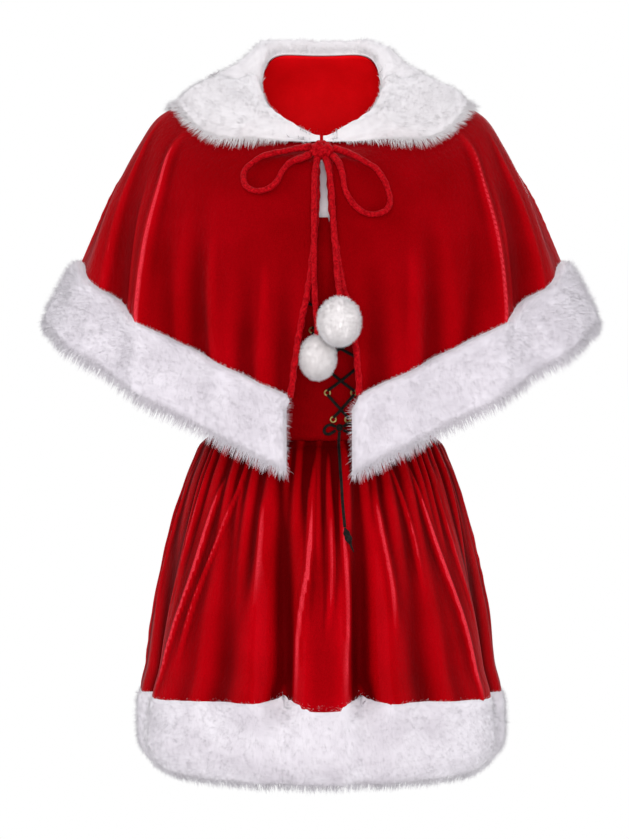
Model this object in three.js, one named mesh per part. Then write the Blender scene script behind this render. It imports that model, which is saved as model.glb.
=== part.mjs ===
// A velvet costume in two garments, as it hangs on a figure that isn't there: a gathered mini dress and,
// over it, a short shoulder cape with a white fur collar and fur hem, tied at the neck with a velvet cord.
// Millimetres, +Z up. The front faces -Y and the wearer's left is +X. The origin lies between the
// shoulders, where the wearer carries both garments.
import * as THREE from "three";

const { clamp, degToRad, euclideanModulo, lerp, radToDeg, smoothstep } = THREE.MathUtils;

const SEAM_GAP = 0.3; // between sewn pieces
const VELVET = 1.8; // thickness of the velvet wall
const FUR_BACKING = 2.5; // the fur's knitted back, inside the line of the cloth
const WAIST = 390; // distances down from the origin
const HEM_SEAM = 682;
const HEM = 772;
const HEM_DIP = 9; // the hem hangs lower at the sides
const WAIST_DIP = 8; // and the waist seam at the centre front
const GATHERS = 60; // small gathers sewn into the waist seam
const CAPE_LENGTH = 405; // from neckline to hem, over the shoulder
const CAPE_FUR = 81; // width of the fur along the cape's hem
const CORD = 6.5; // diameter of the velvet drawcord
const LACE = 2.6; // diameter of the bodice lace

const velvet = new THREE.MeshStandardMaterial({ name: "velvet", color: 0xa6000e, roughness: 0.8 });
const cordVelvet = new THREE.MeshStandardMaterial({ name: "cord velvet", color: 0xb40012, roughness: 0.75 });
const fur = new THREE.MeshStandardMaterial({ name: "fur", color: 0xf1eef1, roughness: 0.95 });
const blackCord = new THREE.MeshStandardMaterial({ name: "black cord", color: 0x14140f, roughness: 0.5 });
const brass = new THREE.MeshStandardMaterial({ name: "brass", color: 0x9c8446, roughness: 0.4, metalness: 1 });

// Tables and curves

// The value at x of a smooth curve through one column of a table, whose key column rises from row to row.
function along(rows, key, column, x, levelEnds = false) {
  const last = rows.length - 1;
  let i = 0;
  while (i < last - 1 && x > rows[i + 1][key]) i++;
  const rise = (a, b) => (rows[b][column] - rows[a][column]) / (rows[b][key] - rows[a][key]);
  const slope = (k) => {
    if (k > 0 && k < last) return (rise(k - 1, k) + rise(k, k + 1)) / 2;
    return levelEnds ? 0 : rise(Math.max(k - 1, 0), Math.min(k + 1, last));
  };
  const span = rows[i + 1][key] - rows[i][key];
  const t = clamp((x - rows[i][key]) / span, 0, 1);
  const [t2, t3] = [t * t, t * t * t];
  return (
    (2 * t3 - 3 * t2 + 1) * rows[i][column] +
    (t3 - 2 * t2 + t) * span * slope(i) +
    (3 * t2 - 2 * t3) * rows[i + 1][column] +
    (t3 - t2) * span * slope(i + 1)
  );
}

const bump = (x) => (Math.abs(x) < 1 ? Math.cos((x * Math.PI) / 2) ** 2 : 0);
const signedAngle = (a) => euclideanModulo(a + 180, 360) - 180;
const backness = (a) => Math.abs(signedAngle(a)); // 0 at the centre front, 180 at the centre back

// How far the large folds push the cloth out at an angle, and at a share of the way down.
function foldDepth(folds, angle, fallen) {
  let sum = 0;
  for (const fold of folds) {
    const centre = lerp(fold.top, fold.hem, fallen);
    sum += fold.out * bump(signedAngle(angle - centre) / fold.half) * smoothstep(fallen, fold.from, 1);
  }
  return sum;
}

// A point pushed level, away from the wearer's axis.
function pushedOut(x, y, z, out) {
  const scale = 1 + out / Math.hypot(x, y);
  return new THREE.Vector3(x * scale, y * scale, z);
}

// Walls

// A surface takes an angle in degrees and a share from its top edge to its foot.
function normalAt(surface, a, t) {
  const [da, dt] = [0.4, 0.004];
  const across = surface(a + da, t).sub(surface(a - da, t));
  const down = surface(a, t + dt).sub(surface(a, t - dt));
  return down.cross(across).normalize();
}

// A point of a surface moved out by a distance. The direction may come from a plainer surface.
function moved(surface, a, t, distance, pushFrom = surface) {
  return surface(a, t).addScaledVector(normalAt(pushFrom, a, t), distance);
}

// A geometry with its faces turned outwards, whichever way its grid ran.
function closed(points, index) {
  let volume = 0;
  for (let i = 0; i < index.length; i += 3) {
    const [a, b, c] = [0, 1, 2].map((k) => points[index[i + k]]);
    volume += a.dot(b.clone().cross(c));
  }
  if (volume < 0) index.reverse();
  const geometry = new THREE.BufferGeometry().setFromPoints(points).setIndex(index);
  geometry.computeVertexNormals();
  return geometry;
}

// A wall between an outer and an inner grid of points, with its rim.
function wall(columns, rows, outer, inner) {
  const points = [];
  for (const face of [outer, inner]) {
    for (let j = 0; j <= rows; j++) {
      for (let i = 0; i <= columns; i++) points.push(face(i / columns, j / rows));
    }
  }
  const wide = columns + 1;
  const layer = wide * (rows + 1);
  const index = [];
  const quad = (a, b, c, d) => index.push(a, b, c, a, c, d);
  for (let j = 0; j < rows; j++) {
    for (let i = 0; i < columns; i++) {
      const k = j * wide + i;
      quad(k, k + wide, k + wide + 1, k + 1);
      quad(layer + k, layer + k + 1, layer + k + wide + 1, layer + k + wide);
    }
  }
  for (let i = 0; i < columns; i++) {
    const foot = rows * wide + i;
    quad(i, i + 1, layer + i + 1, layer + i);
    quad(foot + 1, foot, layer + foot, layer + foot + 1);
  }
  for (let j = 0; j < rows; j++) {
    const start = j * wide;
    const end = start + columns;
    quad(start + wide, start, layer + start, layer + start + wide);
    quad(end, end + wide, layer + end + wide, layer + end);
  }
  return closed(points, index);
}

// A solid through a row of loops, each with the same number of points, and flat at both ends.
function loft(loops) {
  const sides = loops[0].length;
  const index = [];
  for (let j = 0; j < loops.length - 1; j++) {
    for (let i = 0; i < sides; i++) {
      const a = j * sides + i;
      const b = j * sides + ((i + 1) % sides);
      index.push(a, b, b + sides, a, b + sides, a + sides);
    }
  }
  const end = (loops.length - 1) * sides;
  for (let i = 1; i < sides - 1; i++) {
    index.push(0, i + 1, i);
    index.push(end, end + i, end + i + 1);
  }
  return closed(loops.flat(), index);
}

const costume = new THREE.Group();

function add(name, geometry, material) {
  const mesh = new THREE.Mesh(geometry, material);
  mesh.name = name;
  costume.add(mesh);
  return mesh;
}

// A velvet panel. Its rims are square to the plain surface, so that neighbours meet at an even gap.
function addPanel(name, surface, plain, columns, rows, angleAt, downAt, thicker = () => 0) {
  const face = (side) => (u, v) => {
    const pushFrom = v === 0 || v === 1 ? plain : surface;
    const half = VELVET / 2 + thicker(u * columns, v * rows);
    return moved(surface, angleAt(u, v), downAt(v), side * half, pushFrom);
  };
  add(name, wall(columns, rows, face(1), face(-1)), velvet);
}

// A fur band: its backing follows the cloth, and the pile bulges over it and thins out at both edges.
const pileShare = (v) => Math.sqrt(1 - Math.abs(2 * v - 1) ** 5);

function addFurBand(name, surface, plain, columns, rows, angleAt, downAt, pile) {
  const outer = (u, v) => moved(surface, angleAt(u, v), downAt(v), 0.6 + pile * pileShare(v), plain);
  const inner = (u, v) => moved(surface, angleAt(u, v), downAt(v), -FUR_BACKING, plain);
  add(name, wall(columns, rows, outer, inner), fur);
}

// A round cord along hand-laid points.
function addCord(name, points, diameter, steps, material) {
  const path = new THREE.CatmullRomCurve3(points.map((p) => new THREE.Vector3(...p)));
  const sides = 8;
  const section = new THREE.Shape();
  for (let i = 0; i < sides; i++) {
    const a = (2 * Math.PI * i) / sides;
    section[i ? "lineTo" : "moveTo"]((diameter / 2) * Math.cos(a), (diameter / 2) * Math.sin(a));
  }
  section.closePath();
  add(name, new THREE.ExtrudeGeometry(section, { steps, extrudePath: path, curveSegments: 1 }), material);
}

// A ball of short locks: each face of a coarse ball is drawn out to a three-sided tuft.
const TUFT_ROOT = 0.84; // where the tufts part, as a share of the ball's radius

function addPompom(name, centre, radii) {
  const core = new THREE.IcosahedronGeometry(1, 1).getAttribute("position");
  const corner = (i) => new THREE.Vector3().fromBufferAttribute(core, i);
  const points = [];
  for (let i = 0; i < core.count; i += 3) {
    const [a, b, c] = [corner(i), corner(i + 1), corner(i + 2)];
    const tip = a.clone().add(b).add(c).normalize();
    const roots = [a, b, c].map((p) => p.multiplyScalar(TUFT_ROOT));
    roots.forEach((p, k) => points.push(p.clone(), roots[(k + 1) % 3].clone(), tip.clone()));
  }
  const mesh = add(name, new THREE.BufferGeometry().setFromPoints(points), fur);
  mesh.geometry.computeVertexNormals();
  mesh.position.set(...centre);
  mesh.scale.set(...radii);
}

// Halves of the dress: from side seam to side seam, with half a gap left at each
const HALVES = [
  { name: "front", middle: 0 },
  { name: "back", middle: 180 },
];
const halfGap = radToDeg(SEAM_GAP / 2 / 128);
const acrossHalf = (middle) => (u) => lerp(middle - 90 + halfGap, middle + 90 - halfGap, u);

// Skirt

const SKIRT = [
  { down: WAIST, side: 128, front: 98, back: 92 },
  { down: 393, side: 129, front: 99, back: 93 },
  { down: 401, side: 138, front: 109, back: 103 },
  { down: 418, side: 146, front: 119, back: 113 },
  { down: 439, side: 155, front: 129, back: 122 },
  { down: 480, side: 168, front: 141, back: 134 },
  { down: 526, side: 180, front: 152, back: 146 },
  { down: 585, side: 193, front: 164, back: 158 },
  { down: 643, side: 201, front: 174, back: 168 },
  { down: HEM_SEAM, side: 205, front: 180, back: 174 },
  { down: HEM, side: 206, front: 184, back: 178 },
];
// The large folds: their angles from the centre front at the waist and at the hem, half width, and push.
const SKIRT_FOLDS = [
  { top: -14, hem: -13, half: 8, out: -28, from: 0.1 },
  { top: 14, hem: 13.5, half: 8, out: -28, from: 0.1 },
  { top: -30, hem: -33, half: 10, out: -7, from: 0.2 },
  { top: 30, hem: 33, half: 10, out: -7, from: 0.2 },
  { top: -50, hem: -57, half: 13, out: 7, from: 0.15 },
  { top: 50, hem: 57, half: 13, out: 7, from: 0.15 },
  { top: -66, hem: -72, half: 9, out: -14, from: 0.1 },
  { top: 66, hem: 72, half: 9, out: -14, from: 0.1 },
  { top: -98, hem: -101, half: 10, out: -16, from: 0.1 },
  { top: 100, hem: 104, half: 11, out: -14, from: 0.1 },
  { top: -124, hem: -122, half: 9, out: -20, from: 0.2 },
  { top: 122, hem: 127, half: 10, out: -22, from: 0.1 },
  { top: -146, hem: -147, half: 11, out: -13, from: 0.15 },
  { top: 150, hem: 148, half: 9, out: -18, from: 0.2 },
  { top: -168, hem: -169, half: 9, out: -22, from: 0.1 },
  { top: 171, hem: 170, half: 9, out: -20, from: 0.15 },
];
const GATHER_DEPTH = 2.6;
const SEAM_SHARE = (HEM_SEAM - WAIST) / (HEM - WAIST);

const waistDip = (c) => WAIST_DIP * Math.max(c, 0) ** 2;

function skirtShape(angle, t, folded) {
  const down = lerp(WAIST, HEM, t);
  const s = Math.sin(degToRad(angle));
  const c = Math.cos(degToRad(angle));
  const x = along(SKIRT, "down", "side", down) * s;
  const y = -along(SKIRT, "down", c > 0 ? "front" : "back", down) * c;
  const fallen = t / SEAM_SHARE;
  const softer = 1 - 0.5 * smoothstep(t, SEAM_SHARE - 0.02, 1); // the fur evens the folds out
  const gather = GATHER_DEPTH * Math.cos(degToRad(GATHERS * angle)) * (1 - smoothstep(fallen, 0.05, 0.5));
  const out = folded ? softer * foldDepth(SKIRT_FOLDS, angle, Math.min(fallen, 1)) + gather : 0;
  const dip = HEM_DIP * s * s * t + waistDip(c) * (1 - t) ** 3;
  return pushedOut(x, y, -down - dip, out);
}
const skirt = (angle, t) => skirtShape(angle, t, true);
const plainSkirt = (angle, t) => skirtShape(angle, t, false);

const gapShare = SEAM_GAP / (HEM - WAIST);
for (const { name, middle } of HALVES) {
  const across = acrossHalf(middle);
  const down = (v) => lerp(gapShare, SEAM_SHARE - gapShare, v ** 1.4);
  addPanel("skirt_" + name, skirt, plainSkirt, GATHERS, 7, across, down);
  addFurBand("hem_fur_" + name, skirt, plainSkirt, 32, 3, across, (v) => lerp(SEAM_SHARE, 1, v), 9);
}

// Bodice and its fur neckline

const BODICE = [
  { down: 60, side: 134, front: 74, back: 74 },
  { down: 80, side: 138, front: 80, back: 82 },
  { down: 110, side: 145, front: 92, back: 92 },
  { down: 160, side: 150, front: 115, back: 97 },
  { down: 200, side: 149, front: 124, back: 97 },
  { down: 250, side: 139, front: 112, back: 94 },
  { down: 310, side: 129, front: 100, back: 90 },
  { down: WAIST, side: 127, front: 97, back: 91 },
];
const NECKLINE = [
  { angle: 0, top: 80, foot: 149 },
  { angle: 40, top: 90, foot: 160 },
  { angle: 90, top: 134, foot: 210 },
  { angle: 140, top: 100, foot: 178 },
  { angle: 180, top: 88, foot: 166 },
];
const neckline = (angle, edge) => along(NECKLINE, "angle", edge, backness(angle), true);

function bodiceAt(angle, down) {
  const c = Math.cos(degToRad(angle));
  const x = along(BODICE, "down", "side", down) * Math.sin(degToRad(angle));
  const y = -along(BODICE, "down", c > 0 ? "front" : "back", down) * c;
  return new THREE.Vector3(x, y, -down);
}
function bodice(angle, t) {
  const point = bodiceAt(angle, lerp(neckline(angle, "foot") + SEAM_GAP, WAIST, t));
  point.z -= waistDip(Math.cos(degToRad(angle))) * Math.max(t, 0) ** 3;
  return point;
}
const neckBand = (angle, t) => bodiceAt(angle, lerp(neckline(angle, "top"), neckline(angle, "foot"), t));

for (const { name, middle } of HALVES) {
  const across = acrossHalf(middle);
  addPanel("bodice_" + name, bodice, bodice, 18, 6, across, (v) => v);
  addFurBand("neckline_fur_" + name, neckBand, neckBand, 18, 3, across, (v) => v, 9);
}

// Cape

const CAPE = [
  { t: 0, side: 70, sideZ: 8, front: 82, frontZ: -58, back: 60, backZ: 62 },
  { t: 0.12, side: 115, sideZ: 11, front: 112, frontZ: -93, back: 91, backZ: 31 },
  { t: 0.25, side: 164, sideZ: -7, front: 129, frontZ: -142, back: 108, backZ: -17 },
  { t: 0.33, side: 190, sideZ: -21, front: 136, frontZ: -174, back: 114, backZ: -48 },
  { t: 0.43, side: 212, sideZ: -52, front: 142, frontZ: -214, back: 121, backZ: -88 },
  { t: 0.57, side: 241, sideZ: -102, front: 149, frontZ: -270, back: 131, backZ: -145 },
  { t: 0.72, side: 267, sideZ: -162, front: 156, frontZ: -333, back: 142, backZ: -204 },
  { t: 0.86, side: 290, sideZ: -213, front: 163, frontZ: -390, back: 153, backZ: -259 },
  { t: 1, side: 318, sideZ: -264, front: 170, frontZ: -450, back: 166, backZ: -315 },
];
const CAPE_FOLDS = [
  { top: -14, hem: -8, half: 5, out: -5, from: 0.55 },
  { top: -30, hem: -16, half: 5, out: -6, from: 0.6 },
  { top: -62, hem: -24.5, half: 6, out: -8, from: 0.5 },
  { top: -96, hem: -36, half: 9, out: 12, from: 0.5 },
  { top: -103, hem: -50, half: 8, out: -12, from: 0.5 },
  { top: -110, hem: -63, half: 9, out: 9, from: 0.5 },
  { top: -116, hem: -77, half: 8, out: -12, from: 0.55 },
  { top: -124, hem: -91, half: 9, out: 9, from: 0.5 },
  { top: -132, hem: -106, half: 9, out: -13, from: 0.5 },
  { top: -148, hem: -136, half: 10, out: -13, from: 0.55 },
  { top: -168, hem: -166, half: 9, out: -12, from: 0.5 },
  { top: 20, hem: 12, half: 6, out: -6, from: 0.55 },
  { top: 50, hem: 23, half: 6, out: -7, from: 0.5 },
  { top: 96, hem: 35, half: 9, out: 12, from: 0.5 },
  { top: 103, hem: 49, half: 8, out: -12, from: 0.5 },
  { top: 110, hem: 61, half: 9, out: 8, from: 0.55 },
  { top: 117, hem: 75, half: 9, out: -12, from: 0.5 },
  { top: 125, hem: 91, half: 9, out: 9, from: 0.5 },
  { top: 134, hem: 109, half: 9, out: -13, from: 0.5 },
  { top: 146, hem: 132, half: 9, out: -12, from: 0.5 },
  { top: 163, hem: 156, half: 10, out: -14, from: 0.5 },
];

const SHOULDER_ROUND = 0.15;

function capeShape(angle, t, folded) {
  const s = Math.sin(degToRad(angle));
  const c = Math.cos(degToRad(angle));
  const end = c > 0 ? "front" : "back";
  const cell = (column) => along(CAPE, "t", column, t);
  // How soon the cloth leaves the level of the shoulders, towards the centre front or back. It rounds
  // over the top of the shoulder.
  const rounded = (c * c * (1 + SHOULDER_ROUND)) / (Math.abs(c) + SHOULDER_ROUND);
  const atNeck = c > 0 ? rounded : 1 - (1 - rounded) ** 2.5;
  const atHem = c > 0 ? (1 - Math.abs(s)) ** 0.8 : c * c;
  const share = lerp(atNeck, atHem, clamp(t, 0, 1));
  const z = lerp(cell("sideZ"), cell(end + "Z"), share);
  const out = folded ? foldDepth(CAPE_FOLDS, angle, clamp(t, 0, 1) ** 0.6) : 0;
  return pushedOut(cell("side") * s, -cell(end) * c, z, out);
}
const cape = (angle, t) => capeShape(angle, t, true);
const plainCape = (angle, t) => capeShape(angle, t, false);

// The front edges, as distances from the middle: they part towards the hem.
const FRONT_EDGE = [
  { t: 0, right: 6, left: 8 },
  { t: 0.25, right: 6, left: 11 },
  { t: 0.45, right: 13, left: 21 },
  { t: 0.62, right: 25, left: 35 },
  { t: 0.78, right: 34, left: 41 },
  { t: 1, right: 41, left: 42 },
];
const FUR_CORNER = { right: 39, left: 33 };
const angleOfX = (x, t) => radToDeg(Math.asin(x / along(CAPE, "t", "side", t)));
const edgeAngle = (side, t) => angleOfX(along(FRONT_EDGE, "t", side, t), t);

const CAPE_SEAM_SHARE = 1 - CAPE_FUR / CAPE_LENGTH;
const capeGapShare = SEAM_GAP / CAPE_LENGTH;
const seamDegrees = 0.1; // half a gap at the shoulder seams
const capeDown = (v) => (CAPE_SEAM_SHARE - capeGapShare) * v ** 1.25; // closer rows on the shoulders
const capeFurDown = (v) => lerp(CAPE_SEAM_SHARE, 1, v);
const CAPE_PILE = 13;
const ROLLED_EDGE = 1.3; // how much thicker the turned front edge is, to each side

const FRONT_COLUMNS = 23;
const BACK_COLUMNS = 36;
const CAPE_ROWS = 11;

for (const [side, sign] of [["left", 1], ["right", -1]]) {
  const across = (edge) => (u, v) => sign * lerp(edge(v), 90 - seamDegrees, u);
  const velvetEdge = across((v) => edgeAngle(side, capeDown(v)));
  // The band starts on the velvet's own edge and then runs straight down to its corner.
  const furX = (v) => (v === 0 ? along(FRONT_EDGE, "t", side, CAPE_SEAM_SHARE) : FUR_CORNER[side]);
  const furEdge = across((v) => angleOfX(furX(v), capeFurDown(v)));
  const rolled = (column, row) => (column < 1.5 && row > 1.5 && row < CAPE_ROWS ? ROLLED_EDGE : 0);
  addPanel("cape_front_" + side, cape, plainCape, FRONT_COLUMNS, CAPE_ROWS, velvetEdge, capeDown, rolled);
  addFurBand("cape_hem_fur_" + side, cape, plainCape, FRONT_COLUMNS, 3, furEdge, capeFurDown, CAPE_PILE);
}
const acrossBack = (u) => lerp(90 + seamDegrees, 270 - seamDegrees, u);
addPanel("cape_back", cape, plainCape, BACK_COLUMNS, CAPE_ROWS, acrossBack, capeDown);
addFurBand("cape_hem_fur_back", cape, plainCape, BACK_COLUMNS, 3, acrossBack, capeFurDown, CAPE_PILE);

// Fur collar: it lies on the shoulders, and stands up round the back of the neck

const COLLAR = [
  { angle: 5, width: 8, stand: 8 },
  { angle: 17, width: 14, stand: 12 },
  { angle: 30, width: 28, stand: 14 },
  { angle: 40, width: 46, stand: 16 },
  { angle: 55, width: 88, stand: 19 },
  { angle: 68, width: 106, stand: 21 },
  { angle: 90, width: 112, stand: 22 },
  { angle: 115, width: 110, stand: 22 },
  { angle: 145, width: 100, stand: 22 },
  { angle: 180, width: 95, stand: 22 },
];
const COLLAR_PILE = 19;
const FULL_WIDTH = 60; // a narrower stretch of collar is thinner too
const COLLAR_TIP = 5; // degrees from the centre front
const COLLAR_STATIONS = 46;
const COLLAR_BASE_POINTS = 9;
const COLLAR_LIFT = { neck: 0.8, edge: 2 }; // over the velvet
// The top of a section, from the outer edge to the roll: share of the width, share of the pile.
const COLLAR_TOP = [
  { along: 1.03, pile: 0.12 },
  { along: 0.97, pile: 0.62 },
  { along: 0.8, pile: 0.93 },
  { along: 0.5, pile: 1.05 },
];

function collarLoop(angle) {
  const width = along(COLLAR, "angle", "width", backness(angle));
  const stand = along(COLLAR, "angle", "stand", backness(angle));
  const full = Math.min(1, width / FULL_WIDTH);
  const onCape = (share, height) => moved(cape, angle, (share * width) / CAPE_LENGTH, height);
  const base = (share) => VELVET / 2 + lerp(COLLAR_LIFT.neck, COLLAR_LIFT.edge, share);
  const foot = onCape(0, base(0));
  const underside = [];
  for (let i = 1; i < COLLAR_BASE_POINTS; i++) {
    const share = (0.98 * i) / (COLLAR_BASE_POINTS - 1);
    underside.push(onCape(share, base(share)));
  }
  const outward = new THREE.Vector3(Math.sin(degToRad(angle)), -Math.cos(degToRad(angle)), 0);
  const over = (out, up) => foot.clone().addScaledVector(outward, out * full).setZ(foot.z + up * stand);
  return [
    foot,
    ...underside,
    ...COLLAR_TOP.map((row) => onCape(row.along, base(1) + row.pile * COLLAR_PILE * full)),
    over(27, 0.84),
    over(15, 1),
    over(4, 0.9),
    over(-1, 0.45),
  ];
}

const collarLoops = [];
for (let i = 0; i <= COLLAR_STATIONS; i++) {
  collarLoops.push(collarLoop(lerp(COLLAR_TIP, 360 - COLLAR_TIP, i / COLLAR_STATIONS)));
}
add("cape_collar_fur", loft(collarLoops), fur);

// Shoulder straps: from the band's top edge in front, under the cape on the shoulder, to the band behind

const STRAP_FRONT = { inner: 34, outer: 54 }; // degrees round the band, from the centre front
const STRAP_BACK = { inner: 143, outer: 123 };
const STRAP_LIFT = 0.8; // its ends meet the curved top of the band
const STRAP_TOP = { inner: 0.03, outer: 0.1 }; // where it passes under the cape, as shares of its length

function strapOn(sign) {
  return (a, t) => {
    const end = (where) => {
      const angle = sign * lerp(where.inner, where.outer, a);
      return bodiceAt(angle, neckline(angle, "top") - STRAP_LIFT);
    };
    const under = -VELVET - 0.8;
    const top = moved(cape, sign * 90, lerp(STRAP_TOP.inner, STRAP_TOP.outer, a), under);
    const [front, back] = [end(STRAP_FRONT), end(STRAP_BACK)];
    const low = front.clone().lerp(back, t);
    const rise = Math.sin(Math.PI * clamp(t, 0, 1)) ** 1.4;
    return new THREE.Vector3(lerp(low.x, top.x, rise), low.y, lerp(low.z, top.z, rise));
  };
}

function addStrap(name, sign) {
  const surface = strapOn(sign);
  const [da, dt] = [0.02, 0.01];
  const face = (distance) => (u, v) => {
    const [a, t] = [clamp(u, da, 1 - da), clamp(v, dt, 1 - dt)];
    const across = surface(a + da, t).sub(surface(a - da, t));
    const overTop = surface(a, t + dt).sub(surface(a, t - dt));
    const normal = v === 0 || v === 1 ? across.setZ(0).cross(new THREE.Vector3(0, 0, sign)) : across.cross(overTop);
    if (v === 1) normal.negate();
    return surface(u, v).addScaledVector(normal.normalize(), distance * sign);
  };
  add(name, wall(3, 13, face(VELVET / 2), face(-VELVET / 2)), velvet);
}
addStrap("strap_left", 1);
addStrap("strap_right", -1);

// The cape's drawcord: a knot at the throat, two bow loops, and two tails with a pompom on each

const KNOT = [0, -111, -73];
const BOW_RIGHT = [
  [-11.3, -110, -70],
  [-25.5, -106, -71.3],
  [-38, -107, -74],
  [-51, -107.5, -76.5],
  [-62, -108, -79],
  [-71, -109, -83.5],
  [-82, -111, -92],
  [-87, -114.5, -102],
  [-84, -120.5, -114.5],
  [-73, -125.5, -121],
  [-58, -126.5, -118],
  [-49, -124.5, -109.5],
  [-43, -120, -97.5],
  [-35, -117, -88.5],
  [-22, -114, -83],
  [-12, -112.5, -78.5],
];
const BOW_LEFT = [
  [11.9, -110.5, -71],
  [25.5, -109, -75.5],
  [35, -111.5, -79.5],
  [45, -113.5, -85],
  [61, -117, -96],
  [71, -122, -112.5],
  [75.5, -127.5, -130],
  [72, -131.5, -142],
  [58, -135, -148],
  [43, -136, -144],
  [31, -133.5, -131],
  [25.5, -130.5, -118.5],
  [22.5, -124, -100],
  [18.5, -118, -88.5],
  [12, -113.5, -79.5],
];
const TAIL_RIGHT = [
  [-4, -111.5, -81.4],
  [-6, -118, -91],
  [-7.5, -125, -103],
  [-8.5, -133.5, -125],
  [-8.5, -140, -150],
  [-8.5, -144, -175],
  [-8.5, -147.5, -200],
  [-8, -148.5, -225],
  [-7, -148.5, -250],
  [-5.5, -148.5, -268],
  [-4.5, -148.5, -282.5],
];
const TAIL_LEFT = [
  [4.2, -111.5, -81.6],
  [6.5, -117.5, -90],
  [8.5, -124.5, -101],
  [10.5, -131, -117],
  [12, -137.5, -140],
  [13, -142, -160],
  [14.2, -145.5, -180],
  [15.6, -149, -200],
  [16.8, -155, -216],
  [18, -165, -229],
  [18.7, -171.8, -235.4],
  [18.8, -173.8, -241.3],
];
const BOW_STEPS = 26;
const TAIL_STEPS = 14;

const knot = add("tie_knot", new THREE.SphereGeometry(1, 10, 6), cordVelvet);
knot.position.set(...KNOT);
knot.scale.set(11, 8, 8);
addCord("tie_loop_right", BOW_RIGHT, CORD, BOW_STEPS, cordVelvet);
addCord("tie_loop_left", BOW_LEFT, CORD, BOW_STEPS, cordVelvet);
addCord("tie_tail_right", TAIL_RIGHT, CORD, TAIL_STEPS, cordVelvet);
addCord("tie_tail_left", TAIL_LEFT, CORD, TAIL_STEPS, cordVelvet);
addPompom("pompom_left", [18.8, -174, -267.9], [25, 25, 29]);
addPompom("pompom_right", [-4.4, -148.5, -306], [21, 21, 26]);

// Bodice lacing: eyelets in a V, crossed lace between them, and its bow and hanging end at the waist

const LACE_AXIS = 21; // the lacing is turned a little to the wearer's left
const EYELETS = [
  { down: 240, half: 39 },
  { down: 274, half: 31.5 },
  { down: 309, half: 23 },
  { down: 344, half: 14.5 },
  { down: 374, half: 8 },
];
const EYELET = { hole: 1.9, rim: 4, thick: 1.2 };
const BODICE_FACE = VELVET / 2 + 2.2 * SEAM_GAP;
const LACE_OVER_EYELET = BODICE_FACE + EYELET.thick + SEAM_GAP + LACE / 2;
const LACE_UNDER = BODICE_FACE + 0.4 + LACE / 2;
const LACE_STEP = 2.2; // neighbouring laces pass an eyelet this far above and below its centre

function onBodice(x, down, height) {
  const angle = radToDeg(Math.asin(x / along(BODICE, "down", "side", down)));
  const surface = (a, t) => bodiceAt(a, down + t * 100);
  return { point: moved(surface, angle, 0, height), normal: normalAt(surface, angle, 0) };
}

const ringProfile = [
  [EYELET.hole, 0],
  [EYELET.rim, 0],
  [EYELET.rim, EYELET.thick],
  [EYELET.hole, EYELET.thick],
  [EYELET.hole, 0],
].map(([r, h]) => new THREE.Vector2(r, h));

EYELETS.forEach(({ down, half }, row) => {
  for (const [side, sign] of [["left", 1], ["right", -1]]) {
    const { point, normal } = onBodice(LACE_AXIS + sign * half, down, BODICE_FACE);
    const ring = add(`eyelet_${side}_${row + 1}`, new THREE.LatheGeometry(ringProfile, 8), brass);
    ring.position.copy(point);
    ring.quaternion.setFromUnitVectors(new THREE.Vector3(0, 1, 0), normal);
  }
});

for (let row = 0; row < EYELETS.length - 1; row++) {
  for (const [side, sign] of [["left", 1], ["right", -1]]) {
    const [top, foot] = [EYELETS[row], EYELETS[row + 1]];
    const over = (row % 2 === 0) === (sign > 0);
    const crossing = over ? LACE_UNDER + LACE + 0.6 : LACE_UNDER;
    const share = top.half / (top.half + foot.half);
    const points = [
      onBodice(LACE_AXIS + sign * top.half, top.down + LACE_STEP, LACE_OVER_EYELET),
      onBodice(LACE_AXIS, lerp(top.down, foot.down, share), crossing),
      onBodice(LACE_AXIS - sign * foot.half, foot.down - LACE_STEP, LACE_OVER_EYELET),
    ].map(({ point }) => point.toArray());
    addCord(`lace_${side}_${row + 1}`, points, LACE, 4, blackCord);
  }
}

const LACE_KNOT = [20, -101.2, -383];
const LACE_LOOP_LEFT = [
  [24.4, -101.9, -382],
  [30, -101, -378.5],
  [35.5, -100.6, -380],
  [37, -100.4, -385.5],
  [32, -100.6, -388.5],
  [24.2, -101.7, -386],
];
const LACE_LOOP_RIGHT = [
  [15.6, -101.9, -382],
  [10, -101.5, -380],
  [4.5, -101.3, -382.5],
  [3, -101, -388],
  [8, -101, -390.5],
  [15.8, -101.7, -386.2],
];
const LACE_TAIL = [
  [20, -102, -387.4],
  [19.6, -102, -393],
  [19.2, -103.2, -399],
  [19.3, -108.4, -405],
  [20, -117.9, -415],
  [20.8, -127, -432],
  [21.8, -132.7, -445],
  [22.6, -137.4, -460],
  [24, -141.6, -478],
  [25.3, -147, -491.6],
];
const LACE_END = { centre: [28.2, -147.6, -500.2], length: 18, width: 6.4, lean: 20 };

const laceKnot = add("lace_knot", new THREE.SphereGeometry(4, 8, 5), blackCord);
laceKnot.position.set(...LACE_KNOT);
addCord("lace_loop_left", LACE_LOOP_LEFT, LACE, 10, blackCord);
addCord("lace_loop_right", LACE_LOOP_RIGHT, LACE, 10, blackCord);
addCord("lace_tail", LACE_TAIL, LACE, 16, blackCord);
const laceEnd = add("lace_tail_knot", new THREE.SphereGeometry(1, 8, 5), blackCord);
laceEnd.position.set(...LACE_END.centre);
laceEnd.scale.set(LACE_END.width / 2, LACE_END.width / 2, LACE_END.length / 2);
laceEnd.rotation.y = degToRad(-LACE_END.lean);

export default costume;
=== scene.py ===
import math

import bpy
import numpy as np
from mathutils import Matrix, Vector, kdtree


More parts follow.
